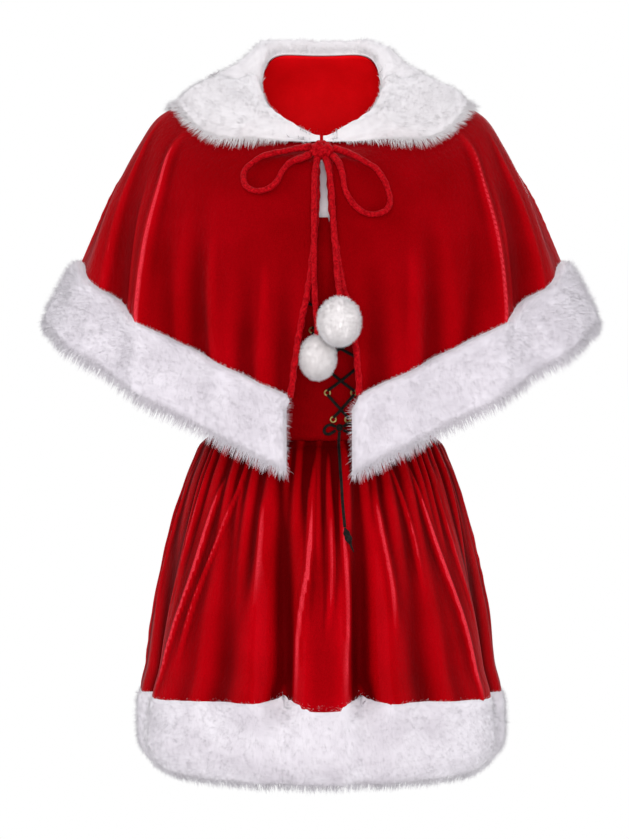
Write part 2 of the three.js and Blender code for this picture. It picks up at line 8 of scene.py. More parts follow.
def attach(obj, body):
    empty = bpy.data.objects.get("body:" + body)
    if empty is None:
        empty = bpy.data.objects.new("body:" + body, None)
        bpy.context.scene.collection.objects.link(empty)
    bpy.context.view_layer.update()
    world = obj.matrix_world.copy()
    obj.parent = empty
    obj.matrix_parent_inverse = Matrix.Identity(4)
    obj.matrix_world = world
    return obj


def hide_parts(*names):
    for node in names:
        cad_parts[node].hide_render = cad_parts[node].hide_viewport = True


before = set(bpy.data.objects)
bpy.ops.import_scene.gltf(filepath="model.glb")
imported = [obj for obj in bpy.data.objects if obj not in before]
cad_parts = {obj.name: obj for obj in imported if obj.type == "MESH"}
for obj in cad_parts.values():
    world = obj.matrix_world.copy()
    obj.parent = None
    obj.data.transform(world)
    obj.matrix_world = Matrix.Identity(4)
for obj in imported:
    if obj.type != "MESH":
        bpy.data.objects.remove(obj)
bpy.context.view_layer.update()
scene = bpy.context.scene

# Photographer's corner
# The costume is seen level from straight in front, from 2.3 m away. Large soft lamps stand in front,
# on each side, above and behind. The floor is a pale round of card, well below the hem.
EYE = (-0.0079, -2.3, -0.374)
LENS = 84.35
FLOOR_DOWN = 1.35

camera = bpy.data.objects.new("camera", bpy.data.cameras.new("camera"))
camera.data.lens = LENS
camera.location = EYE
camera.rotation_euler = (math.radians(90), 0, 0)
scene.collection.objects.link(camera)
scene.camera = camera
scene.view_settings.view_transform = "Standard"

world = bpy.data.worlds.new("studio")
scene.world = world
world.use_nodes = True
nodes, links = world.node_tree.nodes, world.node_tree.links
backdrop = nodes["Background"]
backdrop.inputs["Color"].default_value = (1, 1, 1, 1)
room = nodes.new("ShaderNodeBackground")
room.inputs["Color"].default_value = (0.93, 0.94, 1, 1)
room.inputs["Strength"].default_value = 0.52
seen = nodes.new("ShaderNodeLightPath")
either = nodes.new("ShaderNodeMixShader")
links.new(seen.outputs["Is Camera Ray"], either.inputs[0])
links.new(room.outputs[0], either.inputs[1])
links.new(backdrop.outputs[0], either.inputs[2])
links.new(either.outputs[0], nodes["World Output"].inputs[0])


def hang_lamp(name, place, size, watts, tint):
    lamp = bpy.data.lights.new(name, "AREA")
    lamp.size, lamp.energy, lamp.color = size, watts, tint
    holder = bpy.data.objects.new(name, lamp)
    holder.location = place
    aim = Vector((0, 0, -0.35)) - holder.location
    holder.rotation_euler = aim.to_track_quat("-Z", "Y").to_euler()
    scene.collection.objects.link(holder)


hang_lamp("lamp_front", (-0.6, -2.6, 0.7), 1.1, 14.5, (1, 0.985, 0.97))
hang_lamp("lamp_low", (0.15, -2.7, -0.25), 0.8, 16.5, (1, 0.99, 0.98))
hang_lamp("lamp_floor", (-0.1, -2.0, -1.25), 1.2, 8, (1, 0.98, 0.98))
hang_lamp("lamp_left", (-2.2, -0.7, 0.3), 0.9, 15, (1, 1, 1))
hang_lamp("lamp_right", (2.3, -0.7, 0.1), 0.9, 15, (1, 1, 1))
hang_lamp("lamp_over", (0.1, 0.2, 1.5), 1.0, 6, (1, 1, 1))
hang_lamp("lamp_behind", (0.4, 2.4, 0.6), 1.5, 16, (1, 1, 1))

bpy.ops.mesh.primitive_circle_add(vertices=96, radius=1.1, fill_type="NGON", location=(0, 0, -FLOOR_DOWN))
floor = bpy.context.object
floor.name = "floor"
card = bpy.data.materials.new("pale card")
card.use_nodes = True
card.node_tree.nodes["Principled BSDF"].inputs["Base Color"].default_value = (0.9, 0.9, 0.91, 1)
card.node_tree.nodes["Principled BSDF"].inputs["Roughness"].default_value = 0.9
floor.data.materials.append(card)


# Velvet drawcord of the cape
# A strip of velvet rolled and stitched into a soft cord, run through the neck edge of the cape. It is
# tied at the throat in a bow with two drooping loops, and its two ends hang down the front.
CORD = 0.0065
KNOT = {"centre": (0, -0.111, -0.0735), "radii": (0.0135, 0.0095, 0.0105)}
BOW_RIGHT = [
    (-0.0113, -0.11, -0.07), (-0.0255, -0.106, -0.0713), (-0.038, -0.107, -0.074),
    (-0.051, -0.1075, -0.0765), (-0.062, -0.108, -0.079), (-0.071, -0.109, -0.0835),
    (-0.082, -0.111, -0.092), (-0.087, -0.1145, -0.102), (-0.084, -0.1205, -0.1145),
    (-0.073, -0.1255, -0.121), (-0.058, -0.1265, -0.118), (-0.049, -0.1245, -0.1095),
    (-0.043, -0.12, -0.0975), (-0.035, -0.117, -0.0885), (-0.022, -0.114, -0.083),
    (-0.012, -0.1125, -0.0785),
]
BOW_LEFT = [
    (0.0119, -0.1105, -0.071), (0.0255, -0.109, -0.0755), (0.035, -0.1115, -0.0795),
    (0.045, -0.1135, -0.085), (0.061, -0.117, -0.096), (0.071, -0.122, -0.1125),
    (0.0755, -0.1275, -0.13), (0.072, -0.1315, -0.142), (0.058, -0.135, -0.148),
    (0.043, -0.136, -0.144), (0.031, -0.1335, -0.131), (0.0255, -0.1305, -0.1185),
    (0.0225, -0.124, -0.1), (0.0185, -0.118, -0.0885), (0.012, -0.1135, -0.0795),
]
TAIL_RIGHT = [
    (-0.004, -0.1115, -0.0814), (-0.006, -0.118, -0.091), (-0.0075, -0.125, -0.103),
    (-0.0085, -0.1335, -0.125), (-0.0085, -0.14, -0.15), (-0.0085, -0.144, -0.175),
    (-0.0085, -0.1475, -0.2), (-0.008, -0.1485, -0.225), (-0.007, -0.1485, -0.25),
    (-0.0055, -0.1485, -0.268), (-0.0045, -0.1485, -0.2825),
]
TAIL_LEFT = [
    (0.0042, -0.1115, -0.0816), (0.0065, -0.1175, -0.09), (0.0085, -0.1245, -0.101),
    (0.0105, -0.131, -0.117), (0.012, -0.1375, -0.14), (0.013, -0.142, -0.16),
    (0.0142, -0.1455, -0.18), (0.0156, -0.149, -0.2), (0.0168, -0.155, -0.216),
    (0.018, -0.165, -0.229), (0.0187, -0.1718, -0.2354), (0.0188, -0.1738, -0.2413),
]


def shades_of(material, fac, low, high, places=(0.32, 0.68)):
    """The colours between two, picked by a socket's value."""
    ramp = material.node_tree.nodes.new("ShaderNodeValToRGB")
    for stop, place, colour in zip(ramp.color_ramp.elements, places, (low, high)):
        stop.position, stop.color = place, (*colour, 1)
    material.node_tree.links.new(fac, ramp.inputs["Fac"])
    return ramp


def blended(material, first, second, factor=None):
    """Two colours multiplied, or, where a factor socket is given, mixed by it."""
    mix = material.node_tree.nodes.new("ShaderNodeMix")
    mix.data_type = "RGBA"
    mix.blend_type = "MIX" if factor else "MULTIPLY"
    mix.inputs["Factor"].default_value = 1
    for socket, value in (("Factor", factor), (6, first), (7, second)):
        if isinstance(value, tuple):
            mix.inputs[socket].default_value = value
        elif value:
            material.node_tree.links.new(value, mix.inputs[socket])
    return mix.outputs[2]


def mottle(material, scale, detail, place=None):
    """The value of a noise, finer by its scale."""
    noise = material.node_tree.nodes.new("ShaderNodeTexNoise")
    noise.inputs["Scale"].default_value = scale
    noise.inputs["Detail"].default_value = detail
    if place:
        material.node_tree.links.new(place, noise.inputs["Vector"])
    return noise.outputs["Fac"]


def fabric(name, surface, broad, fine):
    """A cloth or pile finish. Broad and fine give scale, two colours and detail."""
    material = bpy.data.materials.new(name)
    material.use_nodes = True
    shader = material.node_tree.nodes["Principled BSDF"]
    for socket, value in surface.items():
        shader.inputs[socket].default_value = value
    place = material.node_tree.nodes.new("ShaderNodeTexCoord").outputs["Object"]
    layers = [
        shades_of(material, mottle(material, scale, detail, place), low, high).outputs["Color"]
        for scale, low, high, detail in (broad, fine)
    ]
    material.node_tree.links.new(blended(material, *layers), shader.inputs["Base Color"])
    return material


def raised(material, scale, depth, stretch=(1, 1, 1)):
    """Adds relief to a finish, finer or coarser by its scale, drawn out along an axis by its stretch."""
    nodes, links = material.node_tree.nodes, material.node_tree.links
    normal = nodes["Principled BSDF"].inputs["Normal"]
    lie = nodes.new("ShaderNodeMapping")
    lie.inputs["Scale"].default_value = stretch
    relief = nodes.new("ShaderNodeBump")
    relief.inputs["Distance"].default_value = depth
    relief.inputs["Strength"].default_value = 1
    links.new(nodes.new("ShaderNodeTexCoord").outputs["Object"], lie.inputs["Vector"])
    links.new(mottle(material, scale, 3, lie.outputs[0]), relief.inputs["Height"])
    if normal.is_linked:
        links.new(normal.links[0].from_socket, relief.inputs["Normal"])
    links.new(relief.outputs[0], normal)


cord_velvet = fabric(
    "rolled velvet",
    {
        "Roughness": 0.4,
        "Specular IOR Level": 0.12,
        "Specular Tint": (1, 0.1, 0.12, 1),
        "Sheen Weight": 0.2,
        "Sheen Roughness": 0.3,
        "Sheen Tint": (1, 0.05, 0.07, 1),
    },
    (420, (0.3, 0.0004, 0.003), (0.66, 0.006, 0.014), 2),
    (1300, (0.6, 0.5, 0.5), (1, 1, 1), 2),
)
raised(cord_velvet, 330, 0.0012, (1, 1, 0.6))
raised(cord_velvet, 1300, 0.0003)


def make_piece(name, points, faces, finish, slot, *stands_for):
    """A mesh piece on the costume, from its points and arrays of faces, each array of one kind of face."""
    loops = np.concatenate([f.ravel() for f in faces]).astype(np.int32)
    sizes = np.concatenate([np.full(len(f), f.shape[1]) for f in faces])
    mesh = bpy.data.meshes.new(name)
    mesh.vertices.add(len(points))
    mesh.vertices.foreach_set("co", np.asarray(points, np.float32).ravel())
    mesh.loops.add(len(loops))
    mesh.loops.foreach_set("vertex_index", loops)
    mesh.polygons.add(len(sizes))
    mesh.polygons.foreach_set("loop_start", (np.cumsum(sizes) - sizes).astype(np.int32))
    mesh.polygons.foreach_set("use_smooth", np.ones(len(sizes), bool))
    mesh.update(calc_edges=True)
    mesh.materials.append(finish)
    piece = bpy.data.objects.new(name, mesh)
    scene.collection.objects.link(piece)
    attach(piece, "root")
    if stands_for:
        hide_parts(*stands_for)
    return piece


def between(a, b, c, d, t):
    """A smooth curve from b to c, led by the points before and after."""
    return (2 * b + (c - a) * t + (2 * a - 5 * b + 4 * c - d) * t**2 + (3 * b - 3 * c + d - a) * t**3) / 2


def smooth_path(points, steps):
    """Points evenly along a smooth curve through given points."""
    p = np.array(points, float)
    p = np.vstack([2 * p[0] - p[1], p, 2 * p[-1] - p[-2]])
    t = np.linspace(0, 1, 16, endpoint=False)[:, None]
    spans = [between(a, b, c, d, t) for a, b, c, d in zip(p, p[1:], p[2:], p[3:])]
    fine = np.vstack([*spans, p[-2:-1]])
    run = np.concatenate([[0], np.cumsum(np.linalg.norm(np.diff(fine, axis=0), axis=1))])
    even = np.linspace(0, run[-1], steps + 1)
    return np.stack([np.interp(even, run, fine[:, k]) for k in range(3)], axis=1)


def run_of(path):
    return float(np.linalg.norm(np.diff(path, axis=0), axis=1).sum())


def runs(path):
    """The distance gone at each of a path's even steps."""
    return np.linspace(0, run_of(path), len(path))[:, None]


def unit(v):
    return v / np.maximum(np.linalg.norm(v, axis=-1, keepdims=True), 1e-12)


def around(sides):
    return np.linspace(0, 2 * math.pi, sides, endpoint=False)


def closed(grid):
    """A grid of point numbers whose rows end where they begin."""
    return np.hstack([grid, grid[:, :1]])


def squares(i):
    """The faces between neighbours in a grid of point numbers."""
    return np.stack([i[:-1, :-1], i[1:, :-1], i[1:, 1:], i[:-1, 1:]], -1).reshape(-1, 4)


def tube(path, radius, sides):
    """Points and faces of a round cord. The radius may differ at each step and side."""
    steps = len(path)
    ahead = unit(np.gradient(path, axis=0))
    side = unit(np.cross(ahead[0], (0.31, 0.2, 0.93)))
    radius = np.broadcast_to(radius, (steps, sides))
    turn = around(sides)[:, None]
    rings = []
    for k in range(steps):
        side = unit(side - ahead[k] * (side @ ahead[k]))
        other = np.cross(ahead[k], side)
        rings.append(path[k] + radius[k][:, None] * (np.cos(turn) * side + np.sin(turn) * other))
    grid = np.arange(steps * sides).reshape(steps, sides)
    return np.vstack(rings), [squares(closed(grid).T), grid[:1, ::-1], grid[-1:]]


def rolled_cord(node, points, seed, looped=False):
    """A soft velvet cord: it swells and pinches unevenly where the rolled strip creases."""
    path = smooth_path(points, round(run_of(np.array(points)) / 0.0014))
    along_it = runs(path)
    turn = around(14)[None, :]
    rng = np.random.default_rng(seed)
    a, b, c = rng.uniform(0, 6.28, 3)
    crease = 0.5 * np.sin(along_it * 520 + 2 * turn + a) + 0.5 * np.sin(along_it * 310 - turn + b)
    swell = np.sin(along_it * 140 + c)
    near_knot = np.minimum(along_it, along_it[::-1] if looped else along_it) / 0.022
    fuller = 0.3 * np.exp(-(near_knot**2))
    radius = CORD / 2 * (1 + 0.09 * crease + 0.06 * swell + fuller)
    radius[0], radius[-1] = radius[0] * 0.8, radius[-1] * 0.8
    return make_piece(node + "_velvet", *tube(path, radius, 14), cord_velvet, "cord_velvet", node), path


def hang(cord, path, diameter, far_end, others):
    """Works out the length of a cord's path and keeps nothing. The other pieces given with it are not used.
    """
    round(run_of(path), 3)


def round_form(rows, columns):
    """Directions over a ball with faces: rows from pole to pole."""
    down = np.linspace(0.02, math.pi - 0.02, rows)[:, None]
    turn = around(columns)[None, :]
    ball = np.stack([np.sin(down) * np.cos(turn), np.sin(down) * np.sin(turn), np.cos(down) + 0 * turn], -1)
    grid = np.arange(rows * columns).reshape(rows, columns)
    return ball.reshape(-1, 3), [squares(closed(grid)), grid[:1], grid[-1:, ::-1]]


ball, ball_faces = round_form(28, 40)
wound = np.arctan2(ball[:, 2], ball[:, 0])
folds = 0.86 + 0.16 * np.abs(np.sin(1.5 * wound + 3 * ball[:, 1]))
folds = folds + 0.06 * np.sin(9 * ball[:, 0] + 5 * ball[:, 2])
folds = folds - 0.16 * np.exp(-((ball[:, 0] * 2.2 - ball[:, 2]) ** 2) * 14)
knot = make_piece("tie_knot_velvet", KNOT["centre"] + ball * folds[:, None] * KNOT["radii"], ball_faces,
                  cord_velvet, "cord_velvet", "tie_knot")
loop_right, loop_right_path = rolled_cord("tie_loop_right", BOW_RIGHT, 1, looped=True)
loop_left, loop_left_path = rolled_cord("tie_loop_left", BOW_LEFT, 2, looped=True)
hang(loop_right, loop_right_path, CORD, "object", [knot])
hang(loop_left, loop_left_path, CORD, "object", [])

# Pompoms on the ends of the drawcord
# Each is a ball of short white plush, gathered on the end of its cord and stuffed. The one on the
# wearer's left is the bigger of the two and lies in front of the other.
POMPOMS = {
    "left": {"centre": (0.0188, -0.174, -0.2679), "radii": (0.025, 0.025, 0.029), "seed": 11},
    "right": {"centre": (-0.0044, -0.1485, -0.306), "radii": (0.021, 0.021, 0.026), "seed": 12},
}
PLUSH = {"hairs": 6000, "long": 0.0068, "wide": 0.0008}


def fleece(name, low, high, glow=0.9):
    """White fur or plush: soft shades some centimetres across, and fine ones from hair to hair."""
    surface = {
        "Roughness": 0.85,
        "Specular IOR Level": 0.15,
        "Sheen Weight": glow,
        "Sheen Roughness": 0.5,
        "Sheen Tint": (1, 0.98, 1, 1),
    }
    return fabric(name, surface, (26, low, high, 2), (1400, (0.97, 0.97, 0.97), (1, 1, 1), 1))


plush = fleece("pompom plush", (0.98, 0.93, 0.92), (1, 0.96, 0.95), 1)


def grow_pile(name, roots, normals, combs, long, wide, lock, pull, finish, seed):
    """Fine tapered hairs that lean the way they are combed and draw together in small locks."""
    rng = np.random.default_rng(seed)
    count = len(roots)
    lean = unit(normals * rng.uniform(0.4, 0.8, (count, 1)) + combs + rng.normal(0, 0.16, (count, 3)))
    reach = long * rng.uniform(0.62, 1.0, (count, 1))
    tips = roots + lean * reach
    heads = rng.choice(count, max(count // lock, 1), replace=False)
    near = kdtree.KDTree(len(heads))
    for k, head in enumerate(heads):
        near.insert(roots[head], k)
    near.balance()
    own = heads[[near.find(root)[1] for root in roots]]
    tips += (tips[own] - tips) * pull * rng.uniform(0.2, 1, (count, 1))
    ahead = unit(tips - roots)
    side = unit(np.cross(ahead, rng.normal(0, 1, (count, 3))))
    other = np.cross(ahead, side)
    feet = [roots + wide / 2 * (math.cos(k) * side + math.sin(k) * other) for k in (0, 2.094, 4.189)]
    points = np.stack([*feet, tips], 1).reshape(-1, 3)
    first = np.arange(count)[:, None] * 4
    faces = np.concatenate([first + [0, 1, 3], first + [1, 2, 3], first + [2, 0, 3]])
    piece = make_piece(name, points, [faces], finish, "fur")
    soft = unit(normals + lean * 0.25 + rng.normal(0, 0.08, (count, 3)))
    piece.data.normals_split_custom_set_from_vertices(np.repeat(soft, 4, axis=0))
    return piece


for side, it in POMPOMS.items():
    ball, ball_faces = round_form(26, 34)
    seed, radii, hairs = it["seed"], np.array(it["radii"]), PLUSH["hairs"]
    rng = np.random.default_rng(seed)
    uneven = 1 + 0.03 * np.sin(7 * ball[:, :1] + seed) * np.sin(6 * ball[:, 1:2]) * np.sin(8 * ball[:, 2:])
    points = it["centre"] + ball * 0.86 * uneven * radii
    core = make_piece(f"pompom_{side}_body", points, ball_faces, plush, "fur", f"pompom_{side}")
    out = unit(rng.normal(0, 1, (hairs, 3)))
    roots = it["centre"] + out * 0.82 * radii
    combs = np.array((0, 0, -0.25)) + rng.normal(0, 0.15, (hairs, 3))
    hair = grow_pile(f"pompom_{side}_pile", roots, out, combs, PLUSH["long"], PLUSH["wide"], 14, 0.2,
                     plush, seed)
    cord, path = rolled_cord(f"tie_tail_{side}", TAIL_LEFT if side == "left" else TAIL_RIGHT, seed + 5)
    hang(cord, path, CORD, "fitting", [core, hair])

# Bodice of the dress
# Two pieces of stretch velvet, sewn together at the sides and drawn close to the body down to the
# waist seam. Small creases run across it where it is pulled in.
VELVET_THICK = 0.0012
WAIST, HEM_SEAM, HEM = 0.39, 0.682, 0.772
WAIST_DIP = 0.008
BODICE = [  # distance down, half width, depth in front, depth behind
    (0.06, 0.134, 0.074, 0.074),
    (0.08, 0.138, 0.08, 0.082),
    (0.11, 0.145, 0.092, 0.092),
    (0.16, 0.15, 0.115, 0.097),
    (0.2, 0.149, 0.124, 0.097),
    (0.25, 0.139, 0.112, 0.094),
    (0.31, 0.129, 0.1, 0.09),
    (0.39, 0.127, 0.097, 0.091),
]
NECKLINE = [  # angle from the centre front, top edge and foot of the fur band
    (0, 0.08, 0.149),
    (40, 0.09, 0.16),
    (90, 0.134, 0.21),
    (140, 0.1, 0.178),
    (180, 0.088, 0.166),
]
BODICE_CREASES = [  # angle, distance down, height, half width round, half width down
    (-24, 0.345, 0.0016, 24, 0.007),
    (20, 0.36, 0.0014, 22, 0.006),
    (-38, 0.372, 0.0016, 18, 0.005),
    (6, 0.378, 0.0012, 16, 0.004),
    (48, 0.338, 0.0014, 20, 0.007),
    (-60, 0.31, 0.0016, 18, 0.009),
    (75, 0.3, 0.0015, 20, 0.008),
    (-90, 0.35, 0.0018, 24, 0.008),
    (104, 0.362, 0.0017, 24, 0.007),
    (136, 0.33, 0.0018, 26, 0.009),
    (-140, 0.318, 0.0018, 26, 0.008),
    (168, 0.362, 0.0016, 22, 0.006),
    (-172, 0.3, 0.0015, 20, 0.009),
]


def along(rows, column, x, level_ends=False):
    """The value at x of a smooth curve through one column of a table, whose first column rises."""
    table = np.array(rows, float)
    key, value = table[:, 0], table[:, column]
    rise = np.diff(value) / np.diff(key)
    first, last = (0, 0) if level_ends else (rise[0], rise[-1])
    slope = np.concatenate([[first], (rise[1:] + rise[:-1]) / 2, [last]])
    i = np.clip(np.searchsorted(key, x) - 1, 0, len(key) - 2)
    span = key[i + 1] - key[i]
    t = np.clip((x - key[i]) / span, 0, 1)
    return (
        (2 * t**3 - 3 * t**2 + 1) * value[i]
        + (t**3 - 2 * t**2 + t) * span * slope[i]
        + (3 * t**2 - 2 * t**3) * value[i + 1]
        + (t**3 - t**2) * span * slope[i + 1]
    )


def sin(angle):
    """The sine of an angle in degrees."""
    return np.sin(np.radians(angle))


def cos(angle):
    """The cosine of an angle in degrees."""
    return np.cos(np.radians(angle))


def bump(x):
    """One smooth hump, from -1 to 1."""
    return np.where(np.abs(x) < 1, np.cos(np.clip(x, -1, 1) * math.pi / 2) ** 2, 0)


def signed(a):
    """An angle in degrees, from -180 to 180."""
    return (a + 180) % 360 - 180


def swing(x, low, high):
    """A smooth step from 0 at low to 1 at high."""
    t = np.clip((x - low) / (high - low), 0, 1)
    return t * t * (3 - 2 * t)


def neckline(angle, edge):
    """How far down the fur band's top (edge 1) or foot (edge 2) is."""
    return along(NECKLINE, edge, np.abs(signed(angle)), True)


def bodice_at(angle, down):
    s, c = sin(angle), cos(angle)
    depth = np.where(c > 0, along(BODICE, 2, down), along(BODICE, 3, down))
    return np.stack([along(BODICE, 1, down) * s, -depth * c, -down + 0 * s], -1)


def bodice(angle, t):
    """The velvet from under the fur band, at t = 0, to the waist seam, at t = 1."""
    top = neckline(angle, 2) - 0.004
    down = top + (WAIST - top) * t
    point = bodice_at(angle, down)
    point[..., 2] -= WAIST_DIP * np.maximum(cos(angle), 0) ** 2 * np.maximum(t, 0) ** 3
    out = 0
    for at, level, height, round_it, down_it in BODICE_CREASES:
        slant = level + 0.00016 * signed(angle - at)
        out = out + height * bump(signed(angle - at) / round_it) * bump((down - slant) / down_it)
    point[..., :2] *= (1 + out / np.linalg.norm(point[..., :2], axis=-1))[..., None]
    return point


def normals_of(surface, a, t):
    across = surface(a + 0.3, t) - surface(a - 0.3, t)
    down = surface(a, t + 0.003) - surface(a, t - 0.003)
    return unit(np.cross(down, across))


def two_layers(outer, inner, ring=False):
    """Points and faces of a thin wall between two equal grids of points, with its rims."""
    layer = outer[..., 0].size
    i = np.arange(layer).reshape(outer.shape[:2])
    i = closed(i) if ring else i
    edges = [(i[0, :-1], i[0, 1:]), (i[-1, 1:], i[-1, :-1])]
    if not ring:
        edges += [(i[1:, 0], i[:-1, 0]), (i[:-1, -1], i[1:, -1])]
    rims = [np.stack([a, b, b + layer, a + layer], -1) for a, b in edges]
    points = np.vstack([outer.reshape(-1, 3), inner.reshape(-1, 3)])
    return points, [squares(i), squares(i)[:, ::-1] + layer, *rims]


def cut_area(points):
    """The area of cloth in a grid of points."""
    across, down = points[:-1, 1:] - points[:-1, :-1], points[1:, :-1] - points[:-1, :-1]
    return float(np.linalg.norm(np.cross(across, down), axis=-1).sum())


def fold_shades(points, out, ring):
    """From 0 at the bottom of the folds to 1 on their crests, by how the cloth turns across a centimetre:
    the value for the velvet's painted shade and painted highlight.
    """
    shades = 0
    for reach, depth in ((0.011, 0.0016), (0.0045, 0.0005)):
        gap = np.median(np.linalg.norm(np.diff(points, axis=1), axis=-1))
        k = max(round(reach / gap), 1)
        wide = np.pad(points, ((0, 0), (k, k), (0, 0)), mode="wrap" if ring else "edge")
        hollow = (((wide[:, 2 * k :] + wide[:, : -2 * k]) / 2 - points) * out).sum(-1)
        hollow = hollow - np.median(hollow)
        shades = shades + np.clip(-hollow / depth, -1, 1)
    return 0.5 + shades / 4


def paint_fold_shade_and_highlight(material):
    """Painted shade, darkest in the folds, and a painted highlight of pinkish red in fine specks along
    their crests.
    """
    nodes, links = material.node_tree.nodes, material.node_tree.links
    colour = nodes["Principled BSDF"].inputs["Base Color"]
    painted_fold_light = nodes.new("ShaderNodeAttribute")
    painted_fold_light.attribute_name = "painted_fold_light"
    # Painted shade: the colour is multiplied down to a fifth in the folds. Velvet pieces without these
    # values, the straps, get the darkest painted shade.
    shade = shades_of(material, painted_fold_light.outputs["Fac"], (0.2, 0.2, 0.2), (1, 1, 1), (0, 1))
    shade.color_ramp.elements.new(0.5).color = (0.72, 0.72, 0.72, 1)
    # Painted highlight: pinkish red mixed in, in fine specks, on the crests.
    crest = shades_of(material, painted_fold_light.outputs["Fac"], (0, 0, 0), (1, 1, 1), (0.86, 1.15))
    highlight_specks = shades_of(material, mottle(material, 750, 2), (0, 0, 0), (1, 1, 1), (0.36, 0.66))
    lit = nodes.new("ShaderNodeMath")
    lit.operation = "MULTIPLY"
    links.new(crest.outputs["Color"], lit.inputs[0])
    links.new(highlight_specks.outputs["Color"], lit.inputs[1])
    shaded = blended(material, colour.links[0].from_socket, shade.outputs["Color"])
    links.new(blended(material, shaded, (0.95, 0.06, 0.09, 1), lit.outputs[0]), colour)


def cloth(name, surface, angles, shares, stands_for, ring=False, fold_light_contrast=1, painted_light_offset=0):
    """A velvet piece over a grid of angles and of shares down, with its developed area."""
    a, t = np.meshgrid(angles, shares) if angles.ndim == 1 else (angles, shares)
    middle, out = surface(a, t), normals_of(surface, a, t)
    half = out * VELVET_THICK / 2
    piece = make_piece(name, *two_layers(middle + half, middle - half, ring), velvet, "velvet", *stands_for)
    # Per-point values for the painted shade in the folds and the painted highlight on their crests, with
    # the caller's painted light offset added.
    shades = np.tile((0.5 + fold_light_contrast * (fold_shades(middle, out, ring) - 0.5) + painted_light_offset).ravel(), 2)
    piece.data.attributes.new("painted_fold_light", "FLOAT", "POINT").data.foreach_set("value", shades.astype(np.float32))
    return piece, cut_area(np.concatenate([middle, middle[:, :1]], axis=1) if ring else middle)


velvet = fabric(
    "stretch velvet",
    {
        "Roughness": 0.36,
        "Specular IOR Level": 0.04,
        "Specular Tint": (1, 0.06, 0.08, 1),
        "Sheen Weight": 0.14,
        "Sheen Roughness": 0.3,
        "Sheen Tint": (1, 0.02, 0.04, 1),
    },
    (14, (0.45, 0.0002, 0.003), (0.57, 0.0003, 0.005), 3),
    (1100, (0.74, 0.7, 0.7), (1, 1, 1), 2),
)
paint_fold_shade_and_highlight(velvet)
raised(velvet, 240, 0.0011, (1, 1, 0.45))
raised(velvet, 1500, 0.00022)

turns = np.linspace(0, 360, 180, endpoint=False)
downs = np.linspace(0, 1, 38)
# Painted shade: the bodice is painted darker and darker down to the waist, where it lies in the cape's
# shadow.
body, body_area = cloth("bodice_velvet", bodice, turns, downs, ("bodice_front", "bodice_back"), ring=True,
                        painted_light_offset=-0.18 * downs[:, None])

# Fur band of the neckline
# A band of white long-pile fur, sewn on round the top of the bodice. Most of it is under the cape.
BACKING = 0.0025


def neck_band(angle, t):
    top, foot = neckline(angle, 1), neckline(angle, 2)
    return bodice_at(angle, top + (foot - top) * t)


def lumps(points, size, seed):
    """Soft uneven hollows and swellings, from -1 to 1."""
    rng = np.random.default_rng(seed)
    total = 0
    for k in range(7):
        way = unit(rng.normal(0, 1, 3)) * 2 * math.pi / size * rng.uniform(0.6, 1.6)
        total = total + np.sin(points @ way + rng.uniform(0, 6.28))
    return total / 4


def fur_body(name, surface, angles, shares, pile, finish, seed, stands_for, ring=False):
    """The body of a fur band: its knitted back, and the dense base of its pile, whose points it gives."""
    a, t = np.meshgrid(angles, shares) if angles.ndim == 1 else (angles, shares)
    v = (t - t[:1]) / (t[-1:] - t[:1])
    middle, out = surface(a, t), normals_of(surface, a, t)
    full = np.sqrt(1 - np.abs(2 * v - 1) ** np.where(v < 0.5, 6, 3))
    if not ring:
        ends = np.clip(np.minimum(np.arange(a.shape[1]), np.arange(a.shape[1])[::-1]) / 4, 0, 1)
        full = full * np.sqrt(1 - (1 - ends) ** 2)
    uneven = 0.1 * lumps(middle, 0.045, seed) + 0.06 * lumps(middle, 0.015, seed + 1)
    rise = 0.0006 + pile * 0.8 * full * (1 + uneven)
    top = middle + out * rise[..., None]
    make_piece(name, *two_layers(top, middle - out * BACKING, ring), finish, "fur", *stands_for)
    return np.concatenate([top, top[:, :1]], axis=1) if ring else top


def scatter(points, count, seed):
    """Places spread evenly over a grid, with the way out, the way down and the share down at each."""
    rng = np.random.default_rng(seed)
    across, down = points[:-1, 1:] - points[:-1, :-1], points[1:, :-1] - points[:-1, :-1]
    size = np.linalg.norm(np.cross(across, down), axis=-1)
    row, column = np.divmod(rng.choice(size.size, count, p=(size / size.sum()).ravel()), size.shape[1])
    u, v = rng.uniform(0, 1, (2, count, 1))
    a, b, c, d = (points[row + i, column + j] for i in (0, 1) for j in (0, 1))
    place = (a * (1 - u) + b * u) * (1 - v) + (c * (1 - u) + d * u) * v
    down, across = c - a + d - b, b - a + d - c
    return place, unit(np.cross(down, across)), unit(down), (row[:, None] + v) / size.shape[0]


def fur_pile(name, body, count, long, finish, seed, wide=0.0008, edge=0.35, fall=0.75, tucked=1):
    """The pile of a fur band. It lies more and more downwards, and its top can be tucked in."""
    place, out, down, share = scatter(body, count, seed)
    combs = down * (-edge + (edge + fall) * share)
    long = long * (1 - 0.6 * tucked * (1 - swing(share, 0, 0.16)))
    sunk = 0.42 * long * np.clip(np.minimum(share + tucked, 1 - share) / 0.15, 0.1, 1)
    grow_pile(name, place - out * sunk, out, combs, long, wide, 9, 0.08, finish, seed)


dress_fur = fleece("dress fur", (0.69, 0.645, 0.69), (0.85, 0.81, 0.85))
collarette = fur_body("neckline_fur_body", neck_band, turns, np.linspace(0, 1, 12), 0.009, dress_fur, 31,
                      ("neckline_fur_front", "neckline_fur_back"), ring=True)
fur_pile("neckline_fur_pile", collarette, 7000, 0.009, dress_fur, 32, edge=-0.7, tucked=0)

